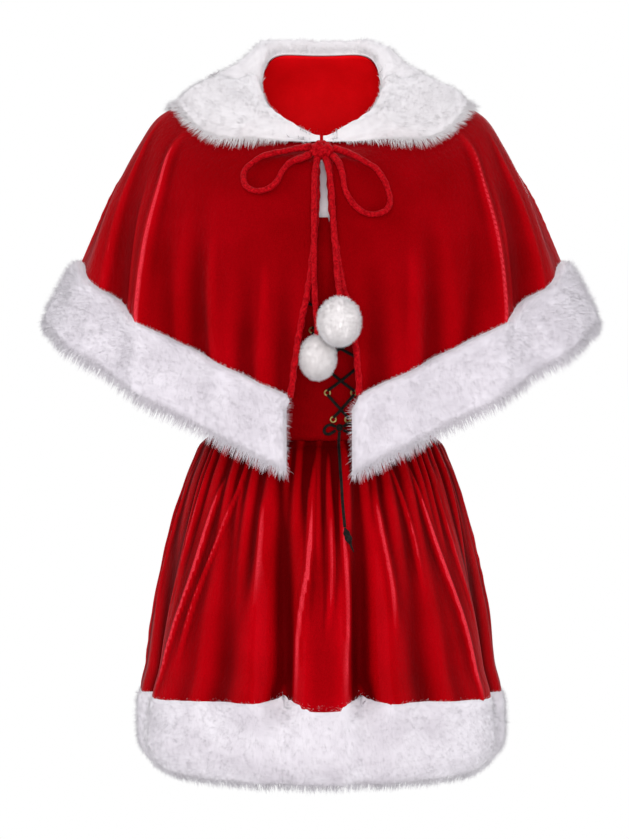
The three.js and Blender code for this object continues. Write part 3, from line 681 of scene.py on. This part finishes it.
# Lacing on the bodice
# Five brass eyelets down each side of a narrow V, and a thin dark cord that crosses over and under
# between them. It is tied at the waist in a small bow. One end hangs down the skirt, thick at its tip.
LACE = 0.0026  # height that one layer of lace takes up
LACE_FULL = 0.0034  # thickness of the lace
LACE_AXIS = 0.021
LACE_STEP = 0.0022
EYELET = {"hole": 0.0019, "rim": 0.0042, "thick": 0.0013}
EYELETS = [  # distance down, half the width of the V there
    (0.24, 0.039),
    (0.274, 0.0315),
    (0.309, 0.023),
    (0.344, 0.0145),
    (0.374, 0.008),
]
BODICE_FACE = 0.00156
LACE_OVER = BODICE_FACE + EYELET["thick"] + 0.0003 + LACE / 2
LACE_UNDER = BODICE_FACE + 0.0004 + LACE / 2
LACE_KNOT = (0.02, -0.1012, -0.383)
LACE_LOOP_LEFT = [
    (0.0244, -0.1019, -0.382), (0.03, -0.101, -0.3785), (0.0355, -0.1006, -0.38),
    (0.037, -0.1004, -0.3855), (0.032, -0.1006, -0.3885), (0.0242, -0.1017, -0.386),
]
LACE_LOOP_RIGHT = [
    (0.0156, -0.1019, -0.382), (0.01, -0.1015, -0.38), (0.0045, -0.1013, -0.3825),
    (0.003, -0.101, -0.388), (0.008, -0.101, -0.3905), (0.0158, -0.1017, -0.3862),
]
LACE_TAIL = [
    (0.02, -0.102, -0.3874), (0.0196, -0.102, -0.393), (0.0192, -0.1032, -0.399),
    (0.0193, -0.1084, -0.405), (0.02, -0.1179, -0.415), (0.0208, -0.127, -0.432),
    (0.0218, -0.1327, -0.445), (0.0226, -0.1374, -0.46), (0.024, -0.1416, -0.478),
    (0.0253, -0.147, -0.4916),
]
LACE_END = [
    (0.0252, -0.1472, -0.4925), (0.0272, -0.1475, -0.4985), (0.0298, -0.1474, -0.5055),
    (0.0322, -0.1472, -0.5125), (0.0352, -0.1468, -0.5195),
]

brass = bpy.data.materials.new("aged brass")
brass.use_nodes = True
brass_shader = brass.node_tree.nodes["Principled BSDF"]
brass_shader.inputs["Metallic"].default_value = 1
brass_shader.inputs["Roughness"].default_value = 0.38
tarnish = shades_of(brass, mottle(brass, 500, 2), (0.16, 0.11, 0.035), (0.5, 0.38, 0.14), (0, 1))
brass.node_tree.links.new(tarnish.outputs["Color"], brass_shader.inputs["Base Color"])

lace_cord = fabric(
    "dark lace",
    {"Roughness": 0.6, "Specular IOR Level": 0.1, "Sheen Weight": 0.03, "Sheen Roughness": 0.4},
    (220, (0.006, 0.005, 0.004), (0.02, 0.013, 0.011), 2),
    (1800, (0.6, 0.6, 0.6), (1, 1, 1), 1),
)
raised(lace_cord, 1500, 0.0006, (1, 1, 0.5))


def on_bodice(x, down, height):
    """A place on or over the front of the bodice, with the way out there."""
    angle = np.degrees(np.arcsin(x / along(BODICE, 1, down)))
    surface = lambda a, t: bodice_at(a, down + t * 0.1)
    out = normals_of(surface, np.float64(angle), np.float64(0))
    return bodice_at(np.float64(angle), np.float64(down)) + out * height, out


def plain_cord(node, points):
    """A thin round cord with a slight twist to its surface."""
    path = smooth_path(points, max(round(run_of(np.array(points)) / 0.0012), 8))
    twist = 0.06 * np.sin(2 * around(10) + runs(path) * 2200)
    mesh = tube(path, LACE_FULL / 2 * (1 + twist), 10)
    return make_piece(node + "_cord", *mesh, lace_cord, "black_cord", node), path


for row, (down, half) in enumerate(EYELETS):
    for side, sign in (("left", 1), ("right", -1)):
        at, out = on_bodice(LACE_AXIS + sign * half, down, BODICE_FACE)
        across = unit(np.cross(out, (0, 0, 1)))
        turn = around(32)[:, None]
        outward = np.cos(turn) * across + np.sin(turn) * np.cross(across, out)
        broad = EYELET["rim"] - EYELET["hole"]
        rings = [
            at + out * EYELET["thick"] * high + (EYELET["hole"] + broad * wide) * outward
            for wide, high in ((0, 0), (1, 0), (1, 0.45), (0.8, 0.85), (0.5, 1), (0.2, 0.85), (0, 0.5))
        ]
        grid = np.arange(len(rings) * 32).reshape(len(rings), 32)
        grid = closed(np.vstack([grid, grid[:1]]))
        make_piece(f"eyelet_{side}_{row + 1}_brass", np.vstack(rings), [squares(grid.T)], brass, "brass",
                   f"eyelet_{side}_{row + 1}")

for row in range(len(EYELETS) - 1):
    (top_down, top_half), (foot_down, foot_half) = EYELETS[row], EYELETS[row + 1]
    for side, sign in (("left", 1), ("right", -1)):
        over = (row % 2 == 0) == (sign > 0)
        middle = top_down + (foot_down - top_down) * top_half / (top_half + foot_half)
        points = [
            on_bodice(LACE_AXIS + sign * top_half, top_down + LACE_STEP, LACE_OVER)[0],
            on_bodice(LACE_AXIS, middle, LACE_UNDER + LACE + 0.0006 if over else LACE_UNDER)[0],
            on_bodice(LACE_AXIS - sign * foot_half, foot_down - LACE_STEP, LACE_OVER)[0],
        ]
        plain_cord(f"lace_{side}_{row + 1}", points)

ball, ball_faces = round_form(14, 20)
wrap = 1 + 0.14 * np.abs(np.sin(2 * np.arctan2(ball[:, 2], ball[:, 0]) + 3 * ball[:, 1]))
lace_knot = make_piece("lace_knot_cord", LACE_KNOT + ball * wrap[:, None] * 0.0036, ball_faces, lace_cord,
                       "black_cord", "lace_knot")
path = smooth_path(LACE_END, 40)
share = np.linspace(0, 1, 41)[:, None]
wound = 1 + 0.16 * np.sin(2 * around(14) + share * 24)
fat = 0.0011 + 0.0026 * np.exp(-(((share - 0.36) / 0.26) ** 4)) * wound
end_knot = make_piece("lace_tail_knot_cord", *tube(path, fat * (1 - 0.7 * share**8), 14), lace_cord,
                      "black_cord", "lace_tail_knot")
for node, points, end, others in (
    ("lace_loop_left", LACE_LOOP_LEFT, "object", [lace_knot]),
    ("lace_loop_right", LACE_LOOP_RIGHT, "object", []),
    ("lace_tail", LACE_TAIL, "knot", [end_knot]),
):
    hang(*plain_cord(node, points), LACE_FULL, end, others)

# Skirt of the dress
# Wide velvet panels gathered into the waist seam, so that small gathers fade out below it into broad
# folds. Two deep folds hang in front, with a narrow ridge of cloth between them.
GATHER_DEPTH = 0.0021
SKIRT = [  # distance down, half width, depth in front, depth behind
    (0.39, 0.128, 0.098, 0.092),
    (0.393, 0.129, 0.099, 0.093),
    (0.401, 0.138, 0.109, 0.103),
    (0.418, 0.146, 0.119, 0.113),
    (0.439, 0.155, 0.129, 0.122),
    (0.48, 0.168, 0.141, 0.134),
    (0.526, 0.18, 0.152, 0.146),
    (0.585, 0.193, 0.164, 0.158),
    (0.643, 0.201, 0.174, 0.168),
    (0.682, 0.205, 0.18, 0.174),
    (0.772, 0.206, 0.184, 0.178),
]
SKIRT_FOLDS = [  # angle at the waist, angle at the hem, half width, push outwards, where it starts
    (-14, -13, 8, -0.028, 0.1),
    (14, 13.5, 8, -0.028, 0.1),
    (-30, -33, 10, -0.007, 0.2),
    (30, 33, 10, -0.007, 0.2),
    (-50, -57, 13, 0.007, 0.15),
    (50, 57, 13, 0.007, 0.15),
    (-66, -72, 9, -0.014, 0.1),
    (66, 72, 9, -0.014, 0.1),
    (-98, -101, 10, -0.016, 0.1),
    (100, 104, 11, -0.014, 0.1),
    (-124, -122, 9, -0.02, 0.2),
    (122, 127, 10, -0.022, 0.1),
    (-146, -147, 11, -0.013, 0.15),
    (150, 148, 9, -0.018, 0.2),
    (-168, -169, 9, -0.022, 0.1),
    (171, 170, 9, -0.02, 0.15),
]
SKIRT_CREASES = [  # angle at the waist, angle at the hem, start, end, half width, height
    (-41, -59.5, 0.12, 1.1, 2.2, 0.0042),
    (-32, -55, 0.06, 0.9, 1.7, 0.0032),
    (-22, -24, 0.2, 0.72, 3.2, 0.0026),
    (-2, -8.8, 0.04, 1.1, 1.8, 0.0034),
    (3.7, 2, 0.02, 0.8, 1.5, 0.0026),
    (-3.4, -6.8, 0.1, 0.72, 1.4, 0.0022),
    (8.5, 8.2, 0.05, 1.1, 2, 0.0032),
    (21.5, 25.2, 0.18, 0.8, 2.6, 0.003),
    (30, 43, 0.05, 0.62, 1.8, 0.0028),
    (39, 56.5, 0.08, 1.1, 2.2, 0.0042),
    (51, 63, 0.15, 0.8, 1.8, 0.0026),
    (-53, -66, 0.1, 0.7, 1.8, 0.003),
    (-75, -80, 0.05, 0.8, 2.2, 0.0034),
    (-86, -88, 0.2, 1.1, 2.6, 0.0036),
    (78, 83, 0.05, 0.9, 2.2, 0.0034),
    (89, 95, 0.15, 1.1, 2.4, 0.0036),
    (112, 115, 0.06, 1.1, 2.4, 0.0036),
    (134, 137, 0.04, 0.8, 2, 0.003),
    (141, 139, 0.1, 0.6, 1.8, 0.003),
    (160, 159, 0.05, 1.1, 2.4, 0.0036),
    (181, 180, 0.04, 0.85, 2, 0.0034),
    (-179, -176, 0.3, 1.1, 2.6, 0.0026),
    (-158, -159, 0.06, 1.1, 2.4, 0.0038),
    (-136, -134, 0.04, 0.7, 2, 0.0034),
    (-111, -112, 0.08, 1.1, 2.4, 0.0036),
]
SEAM_SHARE = (HEM_SEAM - WAIST) / (HEM - WAIST)
HEM_DIP = 0.009
LIP = 0.0045
HITCH = 0.013


def fold_depth(folds, angle, fallen):
    """How far soft folds push the cloth out, more and more from their start to the hem."""
    total = 0
    for top, hem, half, out, start in folds:
        centre = top + (hem - top) * fallen
        total = total + out * bump(signed(angle - centre) / half) * swing(fallen, start, 1)
    return total


def crease_height(creases, angle, fallen):
    """Narrow ridges with a crisp crest, each fading in and out along its run."""
    total = 0
    for top, hem, start, end, half, height in creases:
        centre = top + (hem - top) * fallen + 0.7 * np.sin(fallen * 9 + top)
        side = np.clip(1 - np.abs(signed(angle - centre)) / half, 0, 1) ** 1.7
        fading = swing(fallen, start, start + 0.12) * (1 - swing(fallen, end - 0.25, end))
        total = total + height * side * fading
    return total


def pushed_out(x, y, z, out):
    """A point moved away from the upright axis."""
    scale = 1 + out / np.hypot(x, y)
    return np.stack([x * scale, y * scale, z + 0 * x], -1)


def skirt(angle, t):
    """The skirt from the waist seam, at t = 0, to the foot of its fur, at t = 1."""
    down = WAIST + (HEM - WAIST) * t
    s, c = sin(angle), cos(angle)
    depth = np.where(c > 0, along(SKIRT, 2, down), along(SKIRT, 3, down))
    fallen = np.clip(t / SEAM_SHARE, 0, 1)
    softer = 1 - 0.75 * swing(t, SEAM_SHARE - 0.03, SEAM_SHARE + 0.1)
    wander = angle + 2.4 * sin(5 * angle + 20) + 1.5 * sin(13 * angle + 70)
    uneven = 0.8 + 0.45 * sin(7 * angle + 50) + 0.35 * sin(17 * angle + 15)
    reach = 0.5 + 0.2 * sin(11 * angle + 40) + 0.14 * sin(23 * angle)
    calm = 1 - 0.75 * bump(signed(angle) / 17) * (1 - swing(fallen, 0.1, 0.3))
    gather = GATHER_DEPTH * calm * uneven * cos(60 * wander) * (1 - swing(fallen, 0.02, reach))
    gather = gather * swing(fallen, -0.03, 0.1)
    gather = gather + 0.0012 * cos(37 * angle + 30) * (1 - swing(fallen, 0.1, 0.8))
    folded = fold_depth(SKIRT_FOLDS, angle, fallen) + crease_height(SKIRT_CREASES, angle, fallen)
    dip = HEM_DIP * s * s * t + WAIST_DIP * np.maximum(c, 0) ** 2 * (1 - t) ** 3
    return pushed_out(along(SKIRT, 1, down) * s, -depth * c, -down - dip, softer * folded + gather)


def notch(angle):
    """The two deep folds in front."""
    return bump(signed(angle - 13.5) / 4.6) + bump(signed(angle + 13) / 4.6)


def skirt_cloth(angle, t):
    """The velvet flares a little at its foot, over the fur. It is hitched up in the deep folds."""
    point = skirt(angle, t)
    foot = swing(t, SEAM_SHARE - 0.09, SEAM_SHARE)
    hitch = HITCH * notch(angle) - 0.002 * bump(signed(angle) / 12)
    lip = LIP * (1 + 0.6 * bump(signed(angle) / 13))
    return pushed_out(point[..., 0], point[..., 1], point[..., 2] + hitch * foot, lip * foot)


skirt_turns = np.linspace(0, 360, 500, endpoint=False)
skirt_downs = (SEAM_SHARE + 0.012) * np.linspace(0, 1, 48) ** 1.15
a, t = np.meshgrid(signed(skirt_turns), skirt_downs)
# Painted light on the skirt: a painted highlight along the crests of the creases; painted shade at the top
# of the centre front, on the sides and back, and all round below the waist seam; and the whole skirt a
# little darker.
skirt_painted_light = 0.3 * (crease_height(SKIRT_CREASES, a, t / SEAM_SHARE) / 0.0042) ** 2 - 0.06
skirt_painted_light = skirt_painted_light - 0.3 * bump(a / 16) * (1 - swing(t, 0.03, 0.3)) - 0.15 * swing(np.abs(a), 52, 70)
skirt_painted_light = skirt_painted_light - 0.25 * (1 - swing(t, 0, 0.22))
skirt_piece, skirt_area = cloth("skirt_velvet", skirt_cloth, skirt_turns, skirt_downs,
                                ("skirt_front", "skirt_back"), ring=True, fold_light_contrast=0.85, painted_light_offset=skirt_painted_light)

# Fur hem of the skirt
# A wide band of the same white fur, sewn on under the edge of the velvet. It evens the folds out, and
# its pile shows in the two deep folds.
HEM_PILE = 0.009
HEM_HAIR = 0.0145
HEM_TUCK = 0.02


def hem_band(angle, t):
    """The band follows the skirt and turns in round its lower edge."""
    point = skirt(angle, t)
    rise = 0.009 * sin(angle) ** 2 * np.clip((t - SEAM_SHARE) / (1 - SEAM_SHARE), 0, 1)
    tuck = HEM_TUCK * np.clip((t - 0.9) / 0.1, 0, 1) ** 2
    return pushed_out(point[..., 0], point[..., 1], point[..., 2] + rise, -tuck)


hem_turns = np.linspace(0, 360, 300, endpoint=False)[None, :]
hem_start = SEAM_SHARE - 0.012 - 0.042 * notch(hem_turns)
hem_shares = hem_start + (1 - hem_start) * np.linspace(0, 1, 22)[:, None]
hem_top = fur_body("hem_fur_body", hem_band, np.broadcast_to(hem_turns, hem_shares.shape), hem_shares,
                   HEM_PILE, dress_fur, 41, ("hem_fur_front", "hem_fur_back"), ring=True)
fur_pile("hem_fur_pile", hem_top, 50000, HEM_HAIR, dress_fur, 42, edge=-0.1)

# Shoulder cape
# Velvet cut in a short flared ring that is open in front, where both edges are turned and rolled. It
# lies on the shoulders and falls over the arms in soft folds that widen towards the hem.
CAPE_LENGTH = 0.405
CAPE_FUR = 0.081
SHOULDER_ROUND = 0.15
CAPE = [  # share of the way down, half width and its height, depth and height in front, and behind
    (0, 0.07, 0.008, 0.082, -0.058, 0.06, 0.062),
    (0.12, 0.115, 0.011, 0.112, -0.093, 0.091, 0.031),
    (0.25, 0.164, -0.007, 0.129, -0.142, 0.108, -0.017),
    (0.33, 0.19, -0.021, 0.136, -0.174, 0.114, -0.048),
    (0.43, 0.212, -0.052, 0.142, -0.214, 0.121, -0.088),
    (0.57, 0.241, -0.102, 0.149, -0.27, 0.131, -0.145),
    (0.72, 0.267, -0.162, 0.156, -0.333, 0.142, -0.204),
    (0.86, 0.29, -0.213, 0.163, -0.39, 0.153, -0.259),
    (1, 0.318, -0.264, 0.17, -0.45, 0.166, -0.315),
]
CAPE_FOLDS = [  # angle at the neck, angle at the hem, half width, push outwards, where it starts
    (-14, -8, 5, -0.005, 0.55),
    (-30, -16, 5, -0.006, 0.6),
    (-62, -24.5, 6, -0.008, 0.5),
    (-96, -36, 9, 0.012, 0.5),
    (-103, -50, 8, -0.012, 0.5),
    (-110, -63, 9, 0.009, 0.5),
    (-116, -77, 8, -0.012, 0.55),
    (-124, -91, 9, 0.009, 0.5),
    (-132, -106, 9, -0.013, 0.5),
    (-148, -136, 10, -0.013, 0.55),
    (-168, -166, 9, -0.012, 0.5),
    (20, 12, 6, -0.006, 0.55),
    (50, 23, 6, -0.007, 0.5),
    (96, 35, 9, 0.012, 0.5),
    (103, 49, 8, -0.012, 0.5),
    (110, 61, 9, 0.008, 0.55),
    (117, 75, 9, -0.012, 0.5),
    (125, 91, 9, 0.009, 0.5),
    (134, 109, 9, -0.013, 0.5),
    (146, 132, 9, -0.012, 0.5),
    (163, 156, 10, -0.014, 0.5),
]
CAPE_CREASES = [  # angle at the neck, angle at the hem, start, end, half width, height
    (-92, -37, 0.42, 1.1, 3.4, 0.0042),
    (-100, -44, 0.6, 0.98, 2.2, 0.0012),
    (-52, -21, 0.6, 0.95, 2.4, 0.0008),
    (-24, -12.5, 0.6, 1.1, 2, 0.001),
    (94, 36, 0.42, 1.1, 3.2, 0.0042),
    (99, 42.5, 0.6, 0.9, 2, 0.0012),
    (40, 17.5, 0.6, 1.0, 2.4, 0.0009),
    (-107, -57, 0.45, 1.1, 2.4, 0.003),
    (107, 56, 0.5, 1.1, 2.4, 0.003),
    (-119, -84, 0.5, 1.1, 2.6, 0.003),
    (121, 84, 0.45, 1.1, 2.6, 0.003),
    (-140, -121, 0.45, 1.1, 2.8, 0.0034),
    (139, 121, 0.5, 1.1, 2.8, 0.0034),
    (-158, -151, 0.4, 1.1, 3, 0.0034),
    (154, 144, 0.45, 1.1, 2.8, 0.0032),
    (178, 178, 0.4, 1.1, 3.2, 0.003),
]
FRONT_EDGE = [  # share of the way down, distance from the middle on the right and on the left
    (0, 0.006, 0.008),
    (0.25, 0.006, 0.011),
    (0.45, 0.013, 0.021),
    (0.62, 0.025, 0.035),
    (0.78, 0.034, 0.041),
    (1, 0.041, 0.042),
]
FUR_CORNER = {"right": 0.039, "left": 0.033}
CAPE_SEAM = 1 - CAPE_FUR / CAPE_LENGTH
ROLLED = 0.0074


def cape(angle, t):
    """The cape from the neck, at t = 0, to the foot of its fur, at t = 1."""
    s, c = sin(angle), cos(angle)
    front = c > 0
    depth = np.where(front, along(CAPE, 3, t), along(CAPE, 5, t))
    end_z = np.where(front, along(CAPE, 4, t), along(CAPE, 6, t))
    rounded = c * c * (1 + SHOULDER_ROUND) / (np.abs(c) + SHOULDER_ROUND)
    at_neck = np.where(front, rounded, 1 - (1 - np.clip(rounded, 0, 1)) ** 2.5)
    at_hem = np.where(front, np.maximum(1 - np.abs(s), 0) ** 0.8, c * c)
    share = at_neck + (at_hem - at_neck) * np.clip(t, 0, 1)
    side_z = along(CAPE, 2, t)
    z = side_z + (end_z - side_z) * share
    fallen = np.clip(t, 0, 1) ** 0.6
    at_side = bump((np.abs(signed(angle)) - 98) / 62)
    softer = 1 - (0.55 + 0.4 * at_side) * swing(t, CAPE_SEAM - 0.02 - 0.2 * at_side, CAPE_SEAM + 0.06)
    out = softer * (fold_depth(CAPE_FOLDS, angle, fallen) + crease_height(CAPE_CREASES, angle, fallen))
    return pushed_out(along(CAPE, 1, t) * s, -depth * c, z, out)


def edge_angle(side, t):
    """The angle of the velvet's front edge from the middle."""
    x = along(FRONT_EDGE, 1 if side == "right" else 2, t)
    return np.degrees(np.arcsin(x / along(CAPE, 1, t)))


cape_shares = (CAPE_SEAM + 0.008) * np.linspace(0, 1, 56)[:, None]
evenly = np.linspace(0, 1, 450)[None, :]
start, finish_at = edge_angle("left", cape_shares), 360 - edge_angle("right", cape_shares)
cape_turns = start + (finish_at - start) * evenly
cape_downs = np.broadcast_to(cape_shares, cape_turns.shape)
# Painted light on the cape: a painted highlight along the crests of its creases, strongest on the two long
# ridges over the arms, and the whole cape a little darker.
crest = crease_height(CAPE_CREASES, cape_turns, np.clip(cape_downs, 0, 1) ** 0.6) / 0.0042
cape_painted_light = 0.52 * crest**1.5 - 0.12
cape_parts = ("cape_front_left", "cape_front_right", "cape_back")
cape_piece, cape_area = cloth("cape_velvet", cape, cape_turns, cape_downs, cape_parts,
                              fold_light_contrast=0.45, painted_light_offset=cape_painted_light)
# The back of the cape's velvet, seen inside the neck, is painted a far brighter red than its face: painted
# light for the lit inside of the neck. Its rougher finish is the real back of the cloth.
cape_inside_painted_light = fabric(
    "velvet back with painted light",
    {"Roughness": 0.6, "Specular IOR Level": 0.04, "Sheen Weight": 0.1, "Sheen Tint": (1, 0.03, 0.04, 1)},
    (40, (0.9, 0.0012, 0.004), (0.98, 0.002, 0.006), 2),
    (900, (0.9, 0.9, 0.9), (1, 1, 1), 1),
)
cape_piece.data.materials.append(cape_inside_painted_light)
corners = np.empty(len(cape_piece.data.loops), int)
cape_piece.data.loops.foreach_get("vertex_index", corners)
# Faces of the inner layer take the painted-light inside.
behind = (corners.reshape(-1, 4).min(axis=1) >= cape_turns.size).astype(np.int32)
cape_piece.data.polygons.foreach_set("material_index", behind)

for side, sign, seed in (("left", 1, 51), ("right", -1, 52)):
    t = np.linspace(0.07, CAPE_SEAM - 0.002, 160)
    path = cape(sign * edge_angle(side, t), t)
    creased = 0.1 * np.sin(runs(path) * 430 + 2 * around(12) + seed)
    creased = creased + 0.08 * np.sin(runs(path) * 210 - around(12))
    mesh = tube(path, ROLLED / 2 * (1 + creased), 12)
    make_piece(f"cape_edge_{side}_velvet", *mesh, cord_velvet, "velvet")

# Shoulder straps
# Two short velvet straps, one over each shoulder. They are sewn to the top of the fur band before and
# behind, and lie under the cape.
STRAP_FRONT = (34, 54)
STRAP_BACK = (143, 123)
STRAP_TOP = (0.03, 0.1)
STRAP_THICK = 0.0018
STRAP_LIFT = 0.0008
STRAP_UNDER = -0.0026

for side, sign in (("left", 1), ("right", -1)):
    share, over = np.meshgrid(np.linspace(0, 1, 14), np.linspace(0, 1, 60))
    ends = []
    for begin, end in (STRAP_FRONT, STRAP_BACK):
        angle = sign * (begin + (end - begin) * share)
        ends.append(bodice_at(angle, neckline(angle, 1) - STRAP_LIFT))
    side_on, top_share = 0 * share + sign * 90, STRAP_TOP[0] + (STRAP_TOP[1] - STRAP_TOP[0]) * share
    crown = cape(side_on, top_share) + normals_of(cape, side_on, top_share) * STRAP_UNDER
    middle = ends[0] + (ends[1] - ends[0]) * over[..., None]
    rise = (np.sin(math.pi * over) ** 1.4)[..., None]
    middle = middle + (crown - middle) * (1, 0, 1) * rise
    half = unit(np.cross(np.gradient(middle, axis=1), np.gradient(middle, axis=0))) * sign * STRAP_THICK / 2
    node = f"strap_{side}"
    strap = make_piece(node + "_velvet", *two_layers(middle + half, middle - half), velvet, "velvet", node)
    round(run_of(middle[:, 7]), 3)
    round(cut_area(middle), 4)

# Fur hem of the cape
# A band of thick white fur along the whole hem and round to both front edges, sewn on with the velvet
# tucked in over its top.
CAPE_PILE = 0.013
CAPE_HAIR = 0.0175
cape_fur = fleece("cape fur", (0.76, 0.715, 0.765), (0.88, 0.835, 0.885))


def fur_edge(side, t):
    """The angle of the band's front end, which leaves the velvet's edge just under the seam."""
    seam_x = along(FRONT_EDGE, 1 if side == "right" else 2, CAPE_SEAM)
    x = FUR_CORNER[side] + (seam_x - FUR_CORNER[side]) * np.clip(1 - (t - CAPE_SEAM) / 0.03, 0, 1)
    return np.degrees(np.arcsin(x / along(CAPE, 1, t)))


shares = np.linspace(CAPE_SEAM - 0.006, 1, 18)[:, None]
start, finish_at = fur_edge("left", shares), 360 - fur_edge("right", shares)
turns_round = start + (finish_at - start) * np.linspace(0, 1, 420)[None, :]
band_top = fur_body("cape_hem_fur_body", cape, turns_round, np.broadcast_to(shares, turns_round.shape),
                    CAPE_PILE, cape_fur, 61,
                    ("cape_hem_fur_left", "cape_hem_fur_right", "cape_hem_fur_back"))
for part, columns, count, seed in (
    ("left", slice(0, 141), 28000, 62),
    ("back", slice(140, 281), 24000, 63),
    ("right", slice(280, 420), 28000, 64),
):
    fur_pile(f"cape_hem_fur_{part}_pile", band_top[:, columns], count, CAPE_HAIR, cape_fur, seed, edge=0.1)

# Fur collar of the cape
# The longest and thickest fur. It lies flat on the shoulders, stands up in a roll round the neck, and
# narrows to a point at the throat on each side.
COLLAR_PILE = 0.019
COLLAR_HAIR_WIDE = 0.0008
COLLAR_TIP = 1.5
COLLAR = [  # angle from the centre front, width, height of the roll
    (5, 0.008, 0.008),
    (17, 0.014, 0.012),
    (30, 0.028, 0.014),
    (40, 0.046, 0.016),
    (55, 0.088, 0.019),
    (68, 0.106, 0.021),
    (90, 0.112, 0.022),
    (115, 0.11, 0.022),
    (145, 0.1, 0.022),
    (180, 0.095, 0.022),
]
COLLAR_TOP = [  # share of the width, share of the pile
    (1.03, 0.12),
    (0.97, 0.62),
    (0.8, 0.93),
    (0.5, 1.05),
]
COLLAR_ROLL = [  # outwards, share of the roll's height
    (0.027, 0.84),
    (0.015, 1),
    (0.004, 0.9),
    (-0.001, 0.45),
    (0, 0.03),
]
collar_fur = fleece("collar fur", (0.8, 0.765, 0.775), (0.9, 0.865, 0.875))


def collar_base(share):
    """How far the back of the collar lies over the cape."""
    return 0.0017 + 0.0012 * share


def collar_width(angle):
    """The collar is drawn in a little in front of each shoulder."""
    drawn_in = 0.14 * bump((signed(angle) + 67) / 40) + 0.1 * bump((signed(angle) - 67) / 40)
    return along(COLLAR, 1, np.abs(signed(angle))) * (1 - drawn_in)


def collar_top(angle, s):
    """A point on the collar: s runs from its outer edge, over the roll, to the inside of the neck."""
    angle, s = np.broadcast_arrays(np.asarray(angle, float), np.asarray(s, float))
    width = collar_width(angle)
    stand = along(COLLAR, 2, np.abs(signed(angle)))
    full = np.minimum(1, width / 0.06)
    foot = cape(angle, 0 * angle) + normals_of(cape, angle, 0 * angle) * collar_base(0)
    outward = np.stack([sin(angle), -cos(angle), 0 * angle], -1)
    knots = []
    for share, pile in COLLAR_TOP:
        t = share * width / CAPE_LENGTH
        high = (collar_base(1) + pile * COLLAR_PILE * full)[..., None]
        knots.append(cape(angle, t) + normals_of(cape, angle, t) * high)
    for out, up in COLLAR_ROLL:
        point = foot + outward * (out * full)[..., None]
        point[..., 2] = foot[..., 2] + up * stand
        knots.append(point)
    knots = np.stack([2 * knots[0] - knots[1], *knots, 2 * knots[-1] - knots[-2]])
    place = np.clip(s, 0, 1) * (len(knots) - 3)
    i = np.clip(place.astype(int), 0, len(knots) - 4)
    t = (place - i)[..., None]
    a, b, c, d = (np.take_along_axis(knots, (i + k)[None, ..., None], 0)[0] for k in range(4))
    return between(a, b, c, d, t)


a, s = np.meshgrid(np.linspace(COLLAR_TIP, 360 - COLLAR_TIP, 320), np.linspace(0, 1, 30))
top = collar_top(a, s)
out = -normals_of(collar_top, a, s)
edge_free = np.clip(np.minimum(s / 0.1, (1 - s) / 0.1), 0, 1)
shoulder = bump((np.abs(signed(a)) - 88) / 50) * (1 - swing(s, 0.3, 0.6))
sink = -0.003 - 0.0035 * shoulder + 0.0014 * lumps(top, 0.045, 71) + 0.0007 * lumps(top, 0.016, 72)
top = top + out * (sink * edge_free)[..., None]
throat = swing(s, 0.55, 1)
inwards = 0.007 * throat * bump((np.abs(signed(a)) - 33) / 27)
top[..., 0] -= sin(a) * inwards
top[..., 1] += cos(a) * inwards * 0.5
top[..., 2] -= 0.012 * swing(s, 0.3, 1) * bump(signed(a) / 26)
width = collar_width(a)
share = np.clip(1 - s / 0.55, 0, 1)
t = share * width / CAPE_LENGTH
under = cape(a, t) + normals_of(cape, a, t) * collar_base(share)[..., None]
make_piece("cape_collar_fur_body", *two_layers(top, under), collar_fur, "fur", "cape_collar_fur")

place, out, outwards, share = scatter(top[::-1], 50000, 73)
at = np.degrees(np.arctan2(place[:, :1], -place[:, 1:2]))
kept = (((share > 0.36) | (np.abs(at) > 42)) & (np.abs(at) > 8))[:, 0]
place, out, outwards, share, at = place[kept], out[kept], outwards[kept], share[kept], at[kept]
narrow = np.minimum(1, 0.2 + along(COLLAR, 1, np.abs(at)) / 0.06)
long = (0.0085 + 0.0115 * swing(share, 0.2, 0.6)) * narrow * (1 - 0.25 * bump((np.abs(at) - 80) / 40))
roots = place - out * long * 0.42 * np.clip(np.minimum(share, 1 - share) / 0.12, 0.1, 1)
grow_pile("cape_collar_fur_pile", roots, out, outwards * 0.7, long, COLLAR_HAIR_WIDE, 9, 0.22,
          collar_fur, 74)
